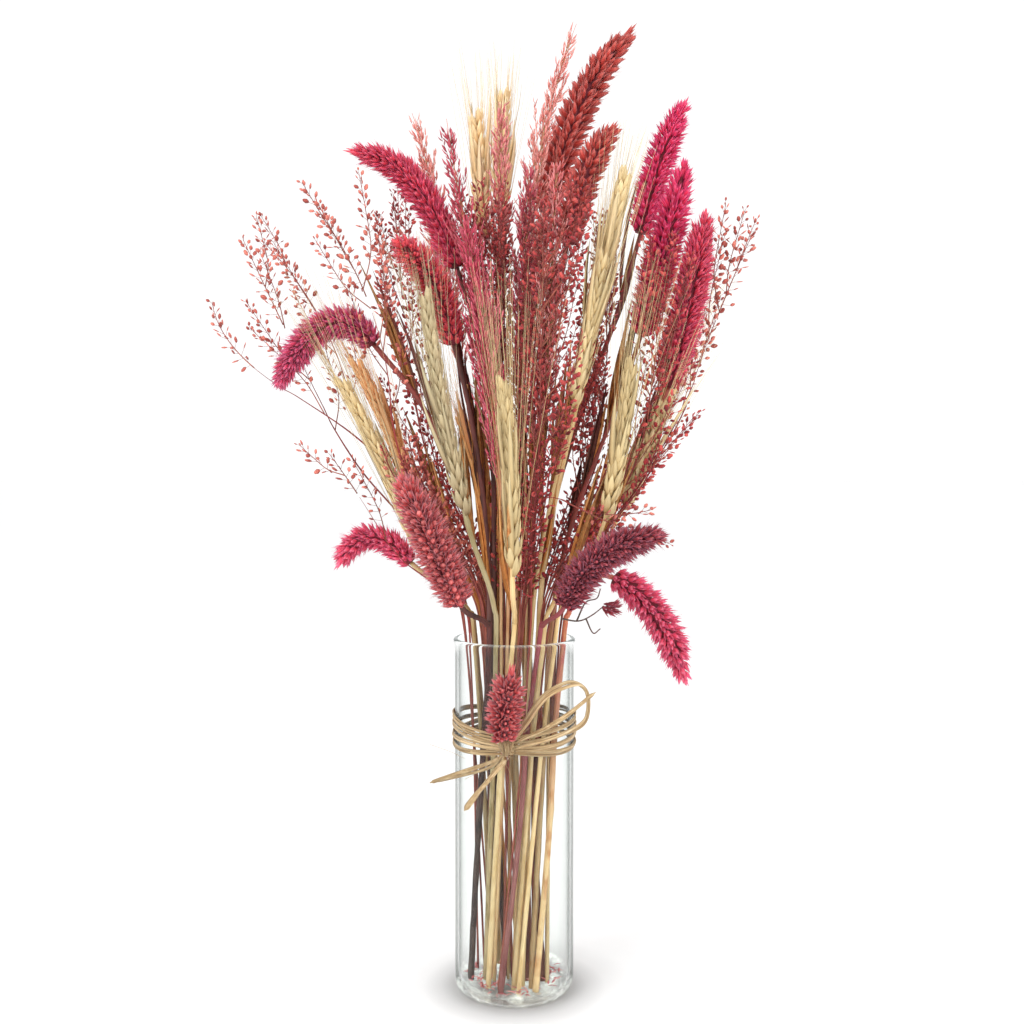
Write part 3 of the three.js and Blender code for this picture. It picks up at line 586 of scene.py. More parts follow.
# Papery florets: dark and closed at the root, bright and thin at the tip, with fine lengthwise creases.
# The colours are those of the root (painted shade among the crowded florets), the body, the tips (partly
# their own paleness and partly a painted glow of light through them) and the fringe.
floretLooks = {
    "brick": ("#4a0e0e", "#b44038", "#de7a6e", "#e49490"),
    "cerise": ("#7c0c24", "#ee3a62", "#ff74a2", "#ff5098"),
    "rose": ("#8c1430", "#f45a76", "#ff92ae", "#ff70a4"),
    "crimson": ("#640f1a", "#d83c50", "#fa788c", "#f870a0"),
    "scarlet": ("#681018", "#da4046", "#f47078", "#f080a0"),
    "magenta": ("#5e1228", "#d24464", "#f880a0", "#f090c0"),
    "dusty": ("#5e1a1a", "#c84c4c", "#ea928e", "#eab0bc"),
    "maroon": ("#3c0e18", "#983840", "#c86a74", "#cc90a8"),
}


def floretFinish(look):
    deep, body, tips, edge = tints(floretLooks[look])
    finish = Finish("floret_" + look, {
        "Sheen Weight": 0.55, "Sheen Roughness": 0.35, "Sheen Tint": edge, "IOR": 1.35,
        "Subsurface Weight": 0.25, "Subsurface Radius": (1.0, 0.35, 0.45), "Subsurface Scale": 0.0012})
    tone, _, along, luck = finish.tone()
    crease = finish.noise(tone, 1.0, 2.0, (9, 0.9, 140))
    patch = finish.noise(finish.place(), 55.0, 2.0)
    # Painted shade darkens the roots; the bright tips are partly their own colour and partly a painted glow
    # of light through them
    colour = finish.ramp(along + (crease - 0.5) * 0.3, (0.0, deep), (0.3, body),
                         (0.6, body), (1.0, tips))
    colour = finish.wear(colour, luck * 0.35 + crease * 0.3 + patch * 0.35)
    return finish.dress(colour, 0.5 + crease * 0.25, crease, 0.00025, 0.6)


def fringeFinish(look):
    # The fine bracts round the florets, paler towards their ends: partly their own colour and partly a
    # painted glow of light through them
    _, body, _, edge = tints(floretLooks[look])
    finish = Finish("fringe_" + look, {
        "Sheen Weight": 0.4, "Sheen Roughness": 0.4, "Sheen Tint": edge, "IOR": 1.35})
    tone, _, along, luck = finish.tone()
    thread = finish.noise(tone, 1.0, 1.0, (8, 1, 90))
    colour = finish.mix(along * 0.9 + thread * 0.2, body, edge)
    colour = finish.wear(colour, luck * 0.4 + thread * 0.6)
    return finish.dress(colour, 0.6 + thread * 0.1, thread, 0.0001, 0.3)


def coreFinish():
    finish = Finish("plume_core")
    patch = finish.noise(finish.place(), 400.0)
    return finish.dress(finish.ramp(patch, (0.3, tint("#54141f")), (0.7, tint("#7c2434"))), 0.8, patch)


# Stems: a colour low down, one high up and one in long streaks, a roughness, and lengthwise ridges
stemLooks = {
    "straw": ("#ecd29e", "#e2c48c", "#d0ac70", 0.42),
    "greenStraw": ("#e0cc9c", "#bcb084", "#a4905c", 0.45),
    "dyedStraw": ("#e6c894", "#bc5e50", "#c48c5c", 0.5),
    "rust": ("#dca860", "#dc8844", "#b06430", 0.5),
    "mauve": ("#b0726c", "#a85058", "#945450", 0.6),
    "umber": ("#5c4a42", "#6a3c38", "#3e302c", 0.65),
    "russet": ("#94604c", "#8e4640", "#66302c", 0.6),
    "twig": ("#a8604e", "#943a38", "#74282c", 0.6),
    "leaf": ("#e0944c", "#e8ac6c", "#c87436", 0.55),
}


def stemFinish(look):
    *codes, roughness = stemLooks[look]
    low, high, streakColour = tints(codes)
    finish = Finish("stem_" + look, {"IOR": 1.45})
    tone, _, along, luck = finish.tone()
    ridge = finish.noise(tone, 1.0, 2.0, (13, 4, 90))
    patch = finish.noise(tone, 1.0, 3.0, (2, 22, 60))
    height = finish.ramp(along, (0.35, black), (0.75, white))
    streak = finish.ramp(patch, (0.45, black), (0.72, white))
    body = finish.mix(height, low, high)
    colour = finish.mix(streak, body, streakColour)
    colour = finish.wear(colour, ridge * 0.6 + luck * 0.4)
    return finish.dress(colour, roughness + ridge * 0.2, ridge, 0.0003, 0.6)


# Grains and their awns: the colours of the body, of the darker grooves between the grains (a painted shade)
# and of the tips
grainLooks = {
    "straw": ("#e0c48c", "#b08850", "#eedaac"),
    "pale": ("#ceb480", "#b2905a", "#dcc898"),
    "sage": ("#bca880", "#80643e", "#d6c8a0"),
    "tan": ("#f0cc92", "#c08a48", "#f8e2b8"),
    "rust": ("#dc9458", "#a05c2a", "#f0c088"),
}


def grainFinish(look):
    body, groove, tips = tints(grainLooks[look])
    finish = Finish("grain_" + look, {"IOR": 1.45})
    tone, _, along, luck = finish.tone()
    vein = finish.noise(tone, 1.0, 1.0, (14, 0.8, 120))
    # The root of each grain, tucked under its neighbours, takes the groove colour: a painted shade
    colour = finish.ramp(along * 0.8 + vein * 0.2, (0.12, groove), (0.36, body), (0.9, tips))
    colour = finish.wear(colour, 0.28 + luck * 0.18 + vein * 0.26)
    return finish.dress(colour, 0.42 + vein * 0.2, vein, 0.0002, 0.5)


def awnFinish(look):
    body, _, tips = tints(grainLooks[look])
    finish = Finish("awn_" + look, {"IOR": 1.45})
    _, _, along, luck = finish.tone()
    grain = finish.noise(finish.place(), 500.0)
    colour = finish.mix(along * 0.8 + grain * 0.2, body, tips)
    return finish.dress(finish.wear(colour, luck * 0.5 + grain * 0.5), 0.45, grain, 0.0001, 0.3)


# Spikelets of the dyed grass, and the flat pods of the peppergrass: dark, middling and pale
spikeletLooks = {
    "coral": ("#c8564e", "#f4988e", "#ffcac0"),
    "rosy": ("#b03c46", "#ea8282", "#fab8b2"),
    "mauve": ("#862234", "#c8465a", "#e8828c"),
    "pink": ("#a02440", "#dc4a66", "#f48c9a"),
}
podLooks = {
    "brown": ("#8c342e", "#c06054", "#ee8c7a"),
    "red": ("#641418", "#a83034", "#dc5c54"),
}


def huskFinish(name, codes, stretch):
    deep, body, tips = tints(codes)
    finish = Finish(name, {"Sheen Weight": 0.15, "IOR": 1.4})
    tone, _, along, luck = finish.tone()
    fibre = finish.noise(tone, 1.0, 2.0, stretch)
    colour = finish.ramp(luck * 0.6 + along * 0.25 + fibre * 0.2, (0.15, deep), (0.5, body), (0.9, tips))
    return finish.dress(finish.wear(colour, fibre), 0.55 + fibre * 0.2, fibre, 0.0002, 0.5)


def raffiaFinish():
    finish = Finish("raffia_fibre", {"IOR": 1.45, "Sheen Weight": 0.15})
    tone, _, along, luck = finish.tone()
    fibre = finish.noise(tone, 1.0, 3.0, (24, 6, 70))
    patch = finish.noise(tone, 1.0, 2.0, (3, 14, 50))
    colour = finish.ramp(fibre * 0.65 + patch * 0.35, (0.3, tint("#846034")), (0.5, tint("#ba9c70")),
                         (0.72, tint("#e6d4ac")))
    colour = finish.wear(colour, luck * 0.3 + fibre * 0.7)
    return finish.dress(colour, 0.5 + fibre * 0.25, fibre, 0.0004, 0.8)


def glassFinish():
    # Clear face on, grey-green where the wall is seen edge on with a painted dark edge band, and a painted
    # glow of light in the rippled floor and along the lip
    finish = Finish("clear_glass", {"IOR": 1.22, "Transmission Weight": 1.0, "Emission Strength": 0.8})
    ripple = finish.noise(finish.place(), 22.0, 2.0, (1, 1, 0.4))
    dimple = finish.noise(finish.place(), 150.0, 2.0)
    _, _, height = finish.parts(finish.place())
    low = finish.ramp(height * 40, (0.24, white), (0.34, black))  # the lowest few millimetres
    smear = finish.noise(finish.place(), 60.0, 3.0)
    facing = finish.node("ShaderNodeLayerWeight", {}, {"Blend": 0.5}, output="Facing")
    # Where the wall is seen edge on, its own grey-green tint is deepened into a painted dark edge band
    edge = finish.ramp(facing, (0.36, black), (0.62, grey(0.22)), (0.76, white))
    rim = finish.ramp(height * 5, (0.92, black), (0.95, grey(0.92)))
    clear = finish.mix(smear, tint("#f8fcfa"), tint("#ffffff"))
    colour = finish.mix(edge * (1 - rim), clear, tint("#5e6460"))
    haze = finish.ramp(smear, (0.62, black), (0.9, grey(0.02)))
    finish.feed(finish.shader.inputs["Alpha"], 1 - low * (0.85 - dimple * 0.4))
    # The glass emits a painted glow of light in its rippled lowest millimetres, and a painted glint on its
    # lip
    paintedFloorGlow = finish.ramp(dimple, (0.48, grey(0.04)), (0.62, (0.75, 0.8, 0.74, 1)))
    lip = finish.ramp(height * 5, (0.953, black), (0.958, (0.2, 0.23, 0.22, 1)))  # a painted glint of light along the top of the lip
    finish.feed(finish.shader.inputs["Emission Color"], finish.mix(low, lip, paintedFloorGlow))
    finish.node("ShaderNodeVolumeAbsorption", {}, {"Color": tint("#d2ddd6"), "Density": 7.0},
                output="Volume", into="Volume")
    return finish.dress(colour, haze, ripple * 0.3 + dimple * low, 0.001, 0.2)


def floorFinish():
    # White, with a painted soft shadow: a little greyer round the foot of the glass
    finish = Finish("pale_floor_painted_shadow", {"IOR": 1.3})
    speck = finish.noise(finish.place(), 40.0, 3.0)
    across, back, _ = finish.parts(finish.place())
    reach = (across * across + back * back) ** 0.5 * 10
    # A painted contact shadow, greyest at the foot of the glass and gone by 68 mm out
    paintedShadow = finish.ramp(reach, (0.33, grey(0.56)), (0.4, grey(0.76)), (0.5, grey(0.93)), (0.68, white))
    pale = finish.mix(speck, tint("#f5f5f5"), tint("#f9f9f9"))
    colour = finish.mix(1.0, pale, paintedShadow, "MULTIPLY")
    return finish.dress(colour, 0.8 + speck * 0.1, speck, 0.0001, 0.1)


florets = {look: floretFinish(look) for look in floretLooks}
fringes = {look: fringeFinish(look) for look in floretLooks}
stems = {look: stemFinish(look) for look in stemLooks}
grains = {look: grainFinish(look) for look in grainLooks}
awns = {look: awnFinish(look) for look in grainLooks}
spikelets = {look: huskFinish("spikelet_" + look, spikeletLooks[look], (8, 1, 90)) for look in spikeletLooks}
pods = {look: huskFinish("pod_" + look, podLooks[look], (4, 4, 90)) for look in podLooks}
core = coreFinish()
print("finishes made:", len(bpy.data.materials))


# Each piece draws its small differences from its own numbers, so one never changes another
lotKinds = ["vase", "plume", "ear", "grass", "spray", "raffia", "bits"]
firstLots = dict(stalk=200, leaves=300, bud=60)


def lotOf(kind, number):
    return np.random.default_rng([lotKinds.index(kind), number])


def spread(lot, count, least, most):
    return lot.uniform(least, most, count)


def pair(spine, shares, angles):
    # Places on a spine, and the directions ahead of and away from it there
    place, ahead, across, upright = spine.at(shares)
    return place, ahead, radials(across, upright, angles)


def leaning(ahead, away, lean):
    return np.cos(lean) * ahead + np.sin(lean) * away


def slope(degrees):
    return np.tan(np.radians(degrees))[:, None]


def headLine(kind, index, count=44, before=0):
    return Spine(smoothLine(strands[kind][index][headStart - before:], count))


slotOf = {row["node"]: row["material_slot"] for row in frame["record"]["subparts"]}
stalk = dict(sides=10, steps=70, roughness=0.07, thinnest=0.8, thickest=1.1, narrowing=1.1, endShare=0.6,
             endTaper=0.8, endRadius=0.2, jointEvery=95, firstJoint=0.3, jointSwell=0.22, jointLength=1.6,
             wander=1.5, wanderSteps=7, calming=60, clearance=2.2, opening=20, footClearance=3, footSlope=0.5)


def wandering(points, lot):
    # Dried stems are never quite straight, and stay inside the glass
    bends = lot.normal(0, stalk["wander"], (stalk["wanderSteps"], 3)) * (1, 1, 0)
    high = points[:, 2:]
    calm = np.clip((glass["height"] - high) / stalk["calming"], 0, 1)
    points = points + smoothLine(bends, len(points)) * calm
    room = (glass["radius"] - glass["wall"] - stalk["clearance"]
            + stalk["opening"] * np.maximum(0, high - glass["height"]))
    room = np.minimum(room, glass["footRadius"] - stalk["footClearance"] + high * stalk["footSlope"])
    points[:, :2] = clampLength(points[:, :2], room)
    return points


def addStalk(shape, kind, index, finish, into=0, joints=False, slimness=0.92):
    # From the floor of the glass to the head, and on into it by a share of the head
    lot = lotOf(kind, index + firstLots["stalk"])
    inHead = into * headSteps
    points = strands[kind][index][:headStart + 1 + round(inHead)]
    spine = Spine(wandering(smoothLine(points, stalk["steps"]), lot))
    along = spine.shares * spine.length
    narrowed = np.minimum(1, spine.shares * stalk["narrowing"])
    radii = lerp(kinds[kind]["footRadius"], kinds[kind]["stemRadius"], narrowed) * slimness
    radii = radii * lot.uniform(stalk["thinnest"], stalk["thickest"])
    if into:
        beyond = spine.length * (1 - inHead / (headStart + inHead) * stalk["endShare"])
        ending = 1 - (along - beyond) / (spine.length - beyond) * stalk["endTaper"]
        radii = radii * np.clip(ending, stalk["endRadius"], 1)
    if joints:
        every = stalk["jointEvery"]
        jointAt = lot.uniform(stalk["firstJoint"], 1) * every
        away = np.abs((along - jointAt + every / 2) % every - every / 2)
        radii = radii * (1 + stalk["jointSwell"] * np.exp(-(away / stalk["jointLength"]) ** 2))
    wobble = 1 + stalk["roughness"] * lot.normal(size=(len(radii), stalk["sides"]))
    section = roundSection[stalk["sides"]] * (radii[:, None] * wobble)[..., None]
    shape.loft(spine, section, luck=lot.random(), finish=finish)


# Each range is drawn from once for every leaf
leaf = dict(thickness=0.3, root=0.8, middleReach=15, follow=0.6, lift=0.4, heights=(0.02, 0.8),
            turns=(0.3, 2.8), leans=(0.02, 0.12), sizes=(0.6, 1.1), bows=(0, 0.05), curls=(-0.1, 0.05),
            profile=[(0.04, 0.5), (0.2, 0.9), (0.4, 1), (0.65, 0.8), (0.88, 0.35)])


def addLeaves(shape, lot, kind, index, count, finish, width=2.4, length=85):
    # Long dried leaves that stand close along the stem below the head, in the glass too on the middle stems
    line = strands[kind][index]
    rim = strandSteps["glass"]
    first = rim - 1 if math.hypot(*line[rim][:2]) < leaf["middleReach"] else rim + 1
    spine = Spine(smoothLine(line[first:headStart + 1], 40))
    for _ in range(count):
        height = np.array([lot.uniform(*leaf["heights"])])
        place, ahead, away = pair(spine, height, np.array([lot.uniform(*leaf["turns"])]))
        heading = unit(ahead * leaf["follow"] + (0, 0, leaf["lift"]))  # steeper than the stem
        heading = heading + away * lot.uniform(*leaf["leans"])
        shape.blades(place + away * leaf["root"], heading, away, length * lot.uniform(*leaf["sizes"]),
                     width * lot.uniform(*leaf["sizes"]), leaf["thickness"], leaf["profile"],
                     bow=lot.uniform(*leaf["bows"]), curl=lot.uniform(*leaf["curls"]), luck=lot.random(1),
                     finish=finish)


# Widths are for a plume whose florets reach fullReach. Towards the tip the florets thin out and close.
plumeShape = dict(fullReach=10.5, core=0.42, coreEnd=0.97, coreTaper=0.2, coreLeast=0.04, rootShare=0.7,
                  bareTip=10.5, taperStart=0.65, taperPower=0.7, tipReach=0.08, rowJitter=0.08, jitter=3,
                  thinning=(0.72, 0.9), tipShare=0.55, mostLean=0.97, leastLean=24, closing=0.1,
                  closedLean=0.4, closedLength=0.7, shut=0.76, opening=4, rootLength=0.75, lengthening=8,
                  leans=(0.92, 1.08), lengths=(0.9, 1.06), budLength=0.62, tepalTurn=0.4, tepalShift=0.2,
                  tepalSpreads=(0.6, 1.3), tepalLengths=(0.85, 1.05), tepalBows=(0.5, 1.3),
                  hairSpreads=(2, 16), hairLengths=(1, 1.24), hairWidth=0.26, hairDepth=0.14)
budProfile = [(0.15, 0.6), (0.5, 1), (0.82, 0.6)]
tepalProfile = [(0.14, 0.55), (0.42, 1), (0.76, 0.55)]
hairProfile = [(0.4, 1)]


def floretStyle(**own):
    return dict(columns=8, rowStep=4.5, depth=0.4, bow=0.08, curl=0.12, turn=0.2, hairs=8) | own


# From tight braids on the brick plumes to loose feathery rows, open fans and the tied plume's stars
braided = floretStyle(rowStep=5.3, tepals=3, width=1.75, depth=0.8, bow=0.12, spread=5, curl=0.08, turn=0.5,
                      bud=1.4, hairs=4)
plaited = floretStyle(rowStep=5, tepals=4, width=1.45, depth=0.6, bow=0.1, spread=9, curl=0.1, turn=0.5,
                      bud=1.4, hairs=7)
feathery = floretStyle(rowStep=4.9, tepals=5, width=1.25, spread=12, curl=0.1, turn=0.5, bud=1.1)
starry = floretStyle(columns=7, rowStep=6.2, tepals=8, width=1.5, depth=0.45, bow=0.1, spread=24, turn=0.25,
                     bud=1, hairs=2)
fanned = floretStyle(tepals=5, width=1.15, spread=18, bud=1.9)
rosette = floretStyle(tepals=6, width=1.25, bow=0.1, spread=22, bud=1.1)
budded = floretStyle(columns=6, rowStep=2.4, tepals=4, width=1.1, spread=6, curl=0.05, turn=0, bud=0.7,
                     hairs=1)
styleOf = {"brick": braided, "rose": plaited, "scarlet": plaited, "dusty": fanned, "maroon": rosette}


def plumeReach(row, shares):
    taper = np.clip((1 - shares) / (1 - plumeShape["taperStart"]), 0, 1) ** plumeShape["taperPower"]
    return row["reach"] * row.get("girth", 1) * swelling(shares) * lerp(plumeShape["tipReach"], 1, taper)


def addFlorets(shape, spine, row, lot, style):
    p = plumeShape
    root = row["reach"] * p["core"] * p["rootShare"]
    length = (row["reach"] - root) / math.sin(math.radians(row["lean"]))
    rows = int((spine.length - p["bareTip"] * row["reach"] / p["fullReach"]) / style["rowStep"]) + 1
    number = np.repeat(np.arange(rows), style["columns"])
    column = np.tile(np.arange(style["columns"]), rows)
    count = len(number)
    places = number + 0.5 * (column % 2) + spread(lot, count, -p["rowJitter"], p["rowJitter"])
    shares = np.clip(places * style["rowStep"] / spine.length, 0, 1)
    kept = lot.random(count) < np.interp(shares, p["thinning"], [1, p["tipShare"]])
    shares, column = shares[kept], column[kept]
    count = len(shares)
    angles = ((column + style["turn"]) * fullTurn / style["columns"]
              + np.radians(lot.normal(0, p["jitter"], count)))
    place, ahead, away = pair(spine, shares, angles)
    reach = plumeReach(row, shares)
    rootThere = root * reach / row["reach"]
    lean = np.arcsin(np.clip((reach - rootThere) / length, 0, p["mostLean"]))
    lean = lean * spread(lot, count, *p["leans"])
    lean = np.maximum(lean, math.radians(p["leastLean"]))
    lean = (lean * np.clip((1 - shares) / p["closing"], p["closedLean"], 1))[:, None]
    axis = leaning(ahead, away, lean)
    side = unit(np.cross(ahead, away))
    above = np.cross(side, axis)
    starts = place + away * rootThere[:, None]
    lengths = length * spread(lot, count, *p["lengths"])
    lengths *= lerp(p["rootLength"], 1, np.clip(shares * p["lengthening"], 0, 1))
    closed = lerp(p["shut"], 1, np.clip((1 - shares) * p["opening"], 0, 1))  # the youngest are shut
    lengths *= closed * np.clip((1 - shares) / p["closing"], p["closedLength"], 1)
    tone = lot.random(count)
    budWidths = style["bud"] * closed
    shape.blades(starts, axis, above, lengths * p["budLength"], budWidths, budWidths, budProfile,
                 roundSection[5], luck=tone)
    for tepal in range(style["tepals"]):
        shift = spread(lot, count, -p["tepalShift"], p["tepalShift"])
        out = radials(side, above, fullTurn * (tepal + shift) / style["tepals"] + p["tepalTurn"])
        tilt = slope(style["spread"] * closed * spread(lot, count, *p["tepalSpreads"]))
        shape.blades(starts, axis + out * tilt, out, lengths * spread(lot, count, *p["tepalLengths"]),
                     style["width"] * closed * row["reach"] / p["fullReach"], style["depth"], tepalProfile,
                     bow=style["bow"] * spread(lot, count, *p["tepalBows"]), curl=style["curl"],
                     luck=0.6 * tone + 0.4 * lot.random(count))
    for _ in range(style["hairs"]):  # a fringe of fine papery bracts
        out = radials(side, above, spread(lot, count, 0, fullTurn))
        tilt = slope(style["spread"] + spread(lot, count, *p["hairSpreads"]))
        shape.blades(starts, axis + out * tilt, out, lengths * spread(lot, count, *p["hairLengths"]),
                     p["hairWidth"], p["hairDepth"], hairProfile, luck=lot.random(count), finish=2)


point = dict(florets=5, length=13, lengths=(0.75, 0.95), width=1.25, depth=1.1, lean=0.12, middleExtra=1.5,
             profile=[(0.12, 0.6), (0.4, 1), (0.75, 0.5)])


def addPoint(shape, spine, row, lot):
    # The last florets close into a point: some lean a little, round an upright one
    count = point["florets"]
    length = point["length"] * row["reach"] / plumeShape["fullReach"]
    turns = fullTurn * np.arange(count) / (count - 1)
    place, ahead, away = pair(spine, np.full(count, 1 - length / spine.length), turns)
    lean = np.array([point["lean"]] * (count - 1) + [0])
    lengths = length * spread(lot, count, *point["lengths"]) + point["middleExtra"] * (lean == 0)
    shape.blades(place, ahead + away * lean[:, None], away, lengths, point["width"], point["depth"],
                 point["profile"], roundSection[5], luck=lot.random(count))


def plumePiece(number, row, spine, style):
    lot = lotOf("plume", number)
    shape = Shape()
    end = (plumeShape["coreEnd"] - spine.shares) / plumeShape["coreTaper"]
    radii = plumeReach(row, spine.shares) * plumeShape["core"] * np.clip(end, plumeShape["coreLeast"], 1)
    shape.loft(spine, roundSection[8] * radii[:, None, None], finish=1)
    addFlorets(shape, spine, row, lot, style)
    addPoint(shape, spine, row, lot)
    node = f"celosia_head_{number}"
    shape.build(f"plume_{number}", [florets[row["look"]], core, fringes[row["look"]]], slotOf[node], node)


# The look of each plume's stem, and how many dried leaves it carries in each of two colours
plumeStems = ["russet", "russet", "russet", "russet", "dyedStraw", "umber", "umber", "russet", "umber",
              "straw", "mauve", "dyedStraw", "mauve"]
leavesOf = {6: 7, 7: 9, 8: 6, 9: 0, 10: 0, 11: 0, 12: 0}
plumeLeaf = dict(usual=4, width=2.1, length=70)
tied = dict(steps=30, shift=(2.8, -1, -4.5), stalkRadius=0.95, stalkSteps=20)


def plumeStalk(number):
    shape = Shape()
    if number > len(plumes):  # the short stem of the plume in front of the glass
        spine = Spine(smoothLine(tiedStalk, tied["stalkSteps"]))
        shape.loft(spine, roundSection[8] * tied["stalkRadius"])
    else:
        addStalk(shape, "plume", number - 1, 0, slimness=0.72)
        lot = lotOf("plume", number + firstLots["leaves"])
        count = leavesOf.get(number, plumeLeaf["usual"])
        for finish in (1, 2):
            addLeaves(shape, lot, "plume", number - 1, count, finish, plumeLeaf["width"], plumeLeaf["length"])
    node = f"celosia_stem_{number}"
    finishes = [stems[plumeStems[number - 1]], stems["leaf"], stems["russet"]]
    shape.build(f"plume_stalk_{number}", finishes, slotOf[node], node)


for index, row in enumerate(plumes):
    plumePiece(index + 1, row, headLine("plume", index), styleOf.get(row["look"], feathery))
    plumeStalk(index + 1)

sideBud = plant((46, -26, 212), (51, -27, 211), (56, -28, 213), "maroon", reach=4.6, lean=34)
sideTwigs = [[(24, -40, 207), (33, -34, 205), (40, -28, 207), (47, -26, 212)],
             [(37, -31, 206), (41, -28, 198), (45, -26, 200)],
             [(32, -35, 205), (37, -29, 214), (43, -27, 216), (45, -26, 221)]]
twig = dict(steps=16, thick=0.5, thin=0.3)


def budPiece():
    # A small bud on dark twigs beside the drooping plume
    lot = lotOf("plume", firstLots["bud"])
    shape = Shape()
    addFlorets(shape, Spine(smoothLine(headCurve(sideBud), 20)), sideBud, lot, budded)
    for points in sideTwigs:
        spine = Spine(smoothLine(points, twig["steps"]))
        radii = lerp(twig["thick"], twig["thin"], spine.shares)
        shape.loft(spine, roundSection[5] * radii[:, None, None], finish=1)
    finishes = [florets[sideBud["look"]], stems["umber"], fringes[sideBud["look"]]]
    shape.build("side_bud", finishes, slotOf["celosia_head_11"])


budPiece()
tiedLine = smoothLine(headCurve(tiedPlume), tied["steps"]) + tied["shift"]
plumePiece(len(plumes) + 1, tiedPlume, Spine(tiedLine), starry)
plumeStalk(len(plumes) + 1)
print("plumes made:", len(plumes) + 1)


ear = dict(nodeStep=3.9, bareTip=0.05, firstNode=0.3, rowAngles=(0, 60, -60), grainLength=14, grainWidth=1.9,
           grainDepth=1.05, baseLean=15, tipLean=9, root=1.2, glumeLength=9, glumeWidth=0.45, glumeDepth=0.3,
           glumeSide=0.8, awnLean=7, awnRadius=0.13, awnTip=0.05, bearded=0.85, twist=0.12, nodeShift=0.1,
           rowShift=3, leans=(0.88, 1.12), firstSize=0.8, growing=8, lastSize=0.7, lengths=(0.94, 1.06),
           grainBow=0.04, glumeLeans=(0.12, 0.06), glumeTurn=0.6, glumeLengths=(0.85, 1.15), glumeBow=0.05,
           awnFrom=0.93, awnLengths=(0.5, 1), awnLeans=(0.1, 1.5), awnStray=0.03, awnBend=0.012,
           grainProfile=[(0.08, 0.55), (0.3, 0.95), (0.55, 1), (0.82, 0.5)],
           glumeProfile=[(0.15, 0.7), (0.5, 1), (0.85, 0.35)])
husk = dict(usual=7, heights=(0, 0.45), leans=(0.05, 0.22), lengths=(34, 60), widths=(1.5, 2.5), depth=0.3,
            bow=0.03, profile=[(0.08, 0.6), (0.35, 1), (0.7, 0.7), (0.9, 0.3)])
earLeaves = {"rust": 7, "pale": 3, "sage": 3, "straw": 5, "tan": 5}
earStems = {"rust": "rust", "sage": "greenStraw", "pale": "straw", "straw": "straw", "tan": "straw"}


def addHusks(shape, lot, spine, count):
    # Pale papery strips that stand beside the head and make it broader
    place, ahead, away = pair(spine, spread(lot, count, *husk["heights"]), spread(lot, count, 0, fullTurn))
    shape.blades(place + away, ahead + away * spread(lot, count, *husk["leans"])[:, None], away,
                 spread(lot, count, *husk["lengths"]), spread(lot, count, *husk["widths"]), husk["depth"],
                 husk["profile"], bow=husk["bow"], luck=lot.random(count))


def earPiece(number, row, spine):
    lot = lotOf("ear", number)
    shape = Shape()
    addStalk(shape, "ear", number - 1, 2, into=0.9, joints=True)
    nodes = int((1 - ear["bareTip"]) * spine.length / ear["nodeStep"])
    place = np.repeat(np.arange(nodes), len(ear["rowAngles"]))
    count = len(place)
    shares = place + ear["firstNode"] + spread(lot, count, -ear["nodeShift"], ear["nodeShift"])
    shares = shares * ear["nodeStep"] / spine.length
    degrees = np.tile(ear["rowAngles"], nodes) + 180 * (place % 2) + lot.normal(0, ear["rowShift"], count)
    angles = degrees / 360 * fullTurn + lot.uniform(-ear["twist"], ear["twist"])
    start, ahead, away = pair(spine, shares, angles)
    lean = lerp(ear["baseLean"], ear["tipLean"], shares) * row.get("girth", 1)
    lean = np.radians(lean * spread(lot, count, *ear["leans"]))[:, None]
    axis = leaning(ahead, away, lean)
    roots = start + away * ear["root"]
    length = ear["grainLength"] * lerp(ear["firstSize"], 1, np.clip(shares * ear["growing"], 0, 1))
    length = length * lerp(1, ear["lastSize"], shares ** 3)
    length = length * spread(lot, count, *ear["lengths"])
    luck = lot.random(count)
    shape.blades(roots, axis, away, length, ear["grainWidth"], ear["grainDepth"], ear["grainProfile"],
                 roundSection[6], bow=ear["grainBow"], luck=luck)
    aside, outward = ear["glumeLeans"]
    for side in (-1, 1):  # a narrow scale on each side of every grain
        turn = np.cross(axis, away) * side
        shape.blades(roots + turn * ear["glumeSide"], axis + turn * aside + away * outward,
                     away + turn * ear["glumeTurn"],
                     ear["glumeLength"] * spread(lot, count, *ear["glumeLengths"]), ear["glumeWidth"],
                     ear["glumeDepth"], ear["glumeProfile"], bow=ear["glumeBow"], luck=lot.random(count))
    bearded = lot.random(count) < ear["bearded"]
    ahead, away, shares, roots, axis, length, luck = (
        values[bearded] for values in (ahead, away, shares, roots, axis, length, luck))
    count = len(shares)
    tips = roots + axis * (length * ear["awnFrom"])[:, None]
    rise = (1 - shares) * spine.length - length + row["awns"] * spread(lot, count, *ear["awnLengths"])
    leanOut = slope(ear["awnLean"] * spread(lot, count, *ear["awnLeans"]))
    stray = lot.normal(0, ear["awnStray"], (count, 3))
    ends = tips + unit(ahead + away * leanOut + stray) * rise[:, None]
    shape.rods(tips, ends, ear["awnRadius"], ear["awnTip"], bend=lot.normal(0, ear["awnBend"], count),
               luck=luck, finish=1)
    addHusks(shape, lot, spine, row.get("husks", husk["usual"]))
    addLeaves(shape, lot, "ear", number - 1, earLeaves[row["look"]], 3)
    finishes = [grains[row["look"]], awns[row["look"]], stems[earStems[row["look"]]], stems["leaf"]]
    node = f"wheat_{number}"
    shape.build(f"bearded_ear_{number}", finishes, slotOf[node], node)


for index, row in enumerate(ears):
    earPiece(index + 1, row, headLine("ear", index))
print("bearded ears made:", len(ears))


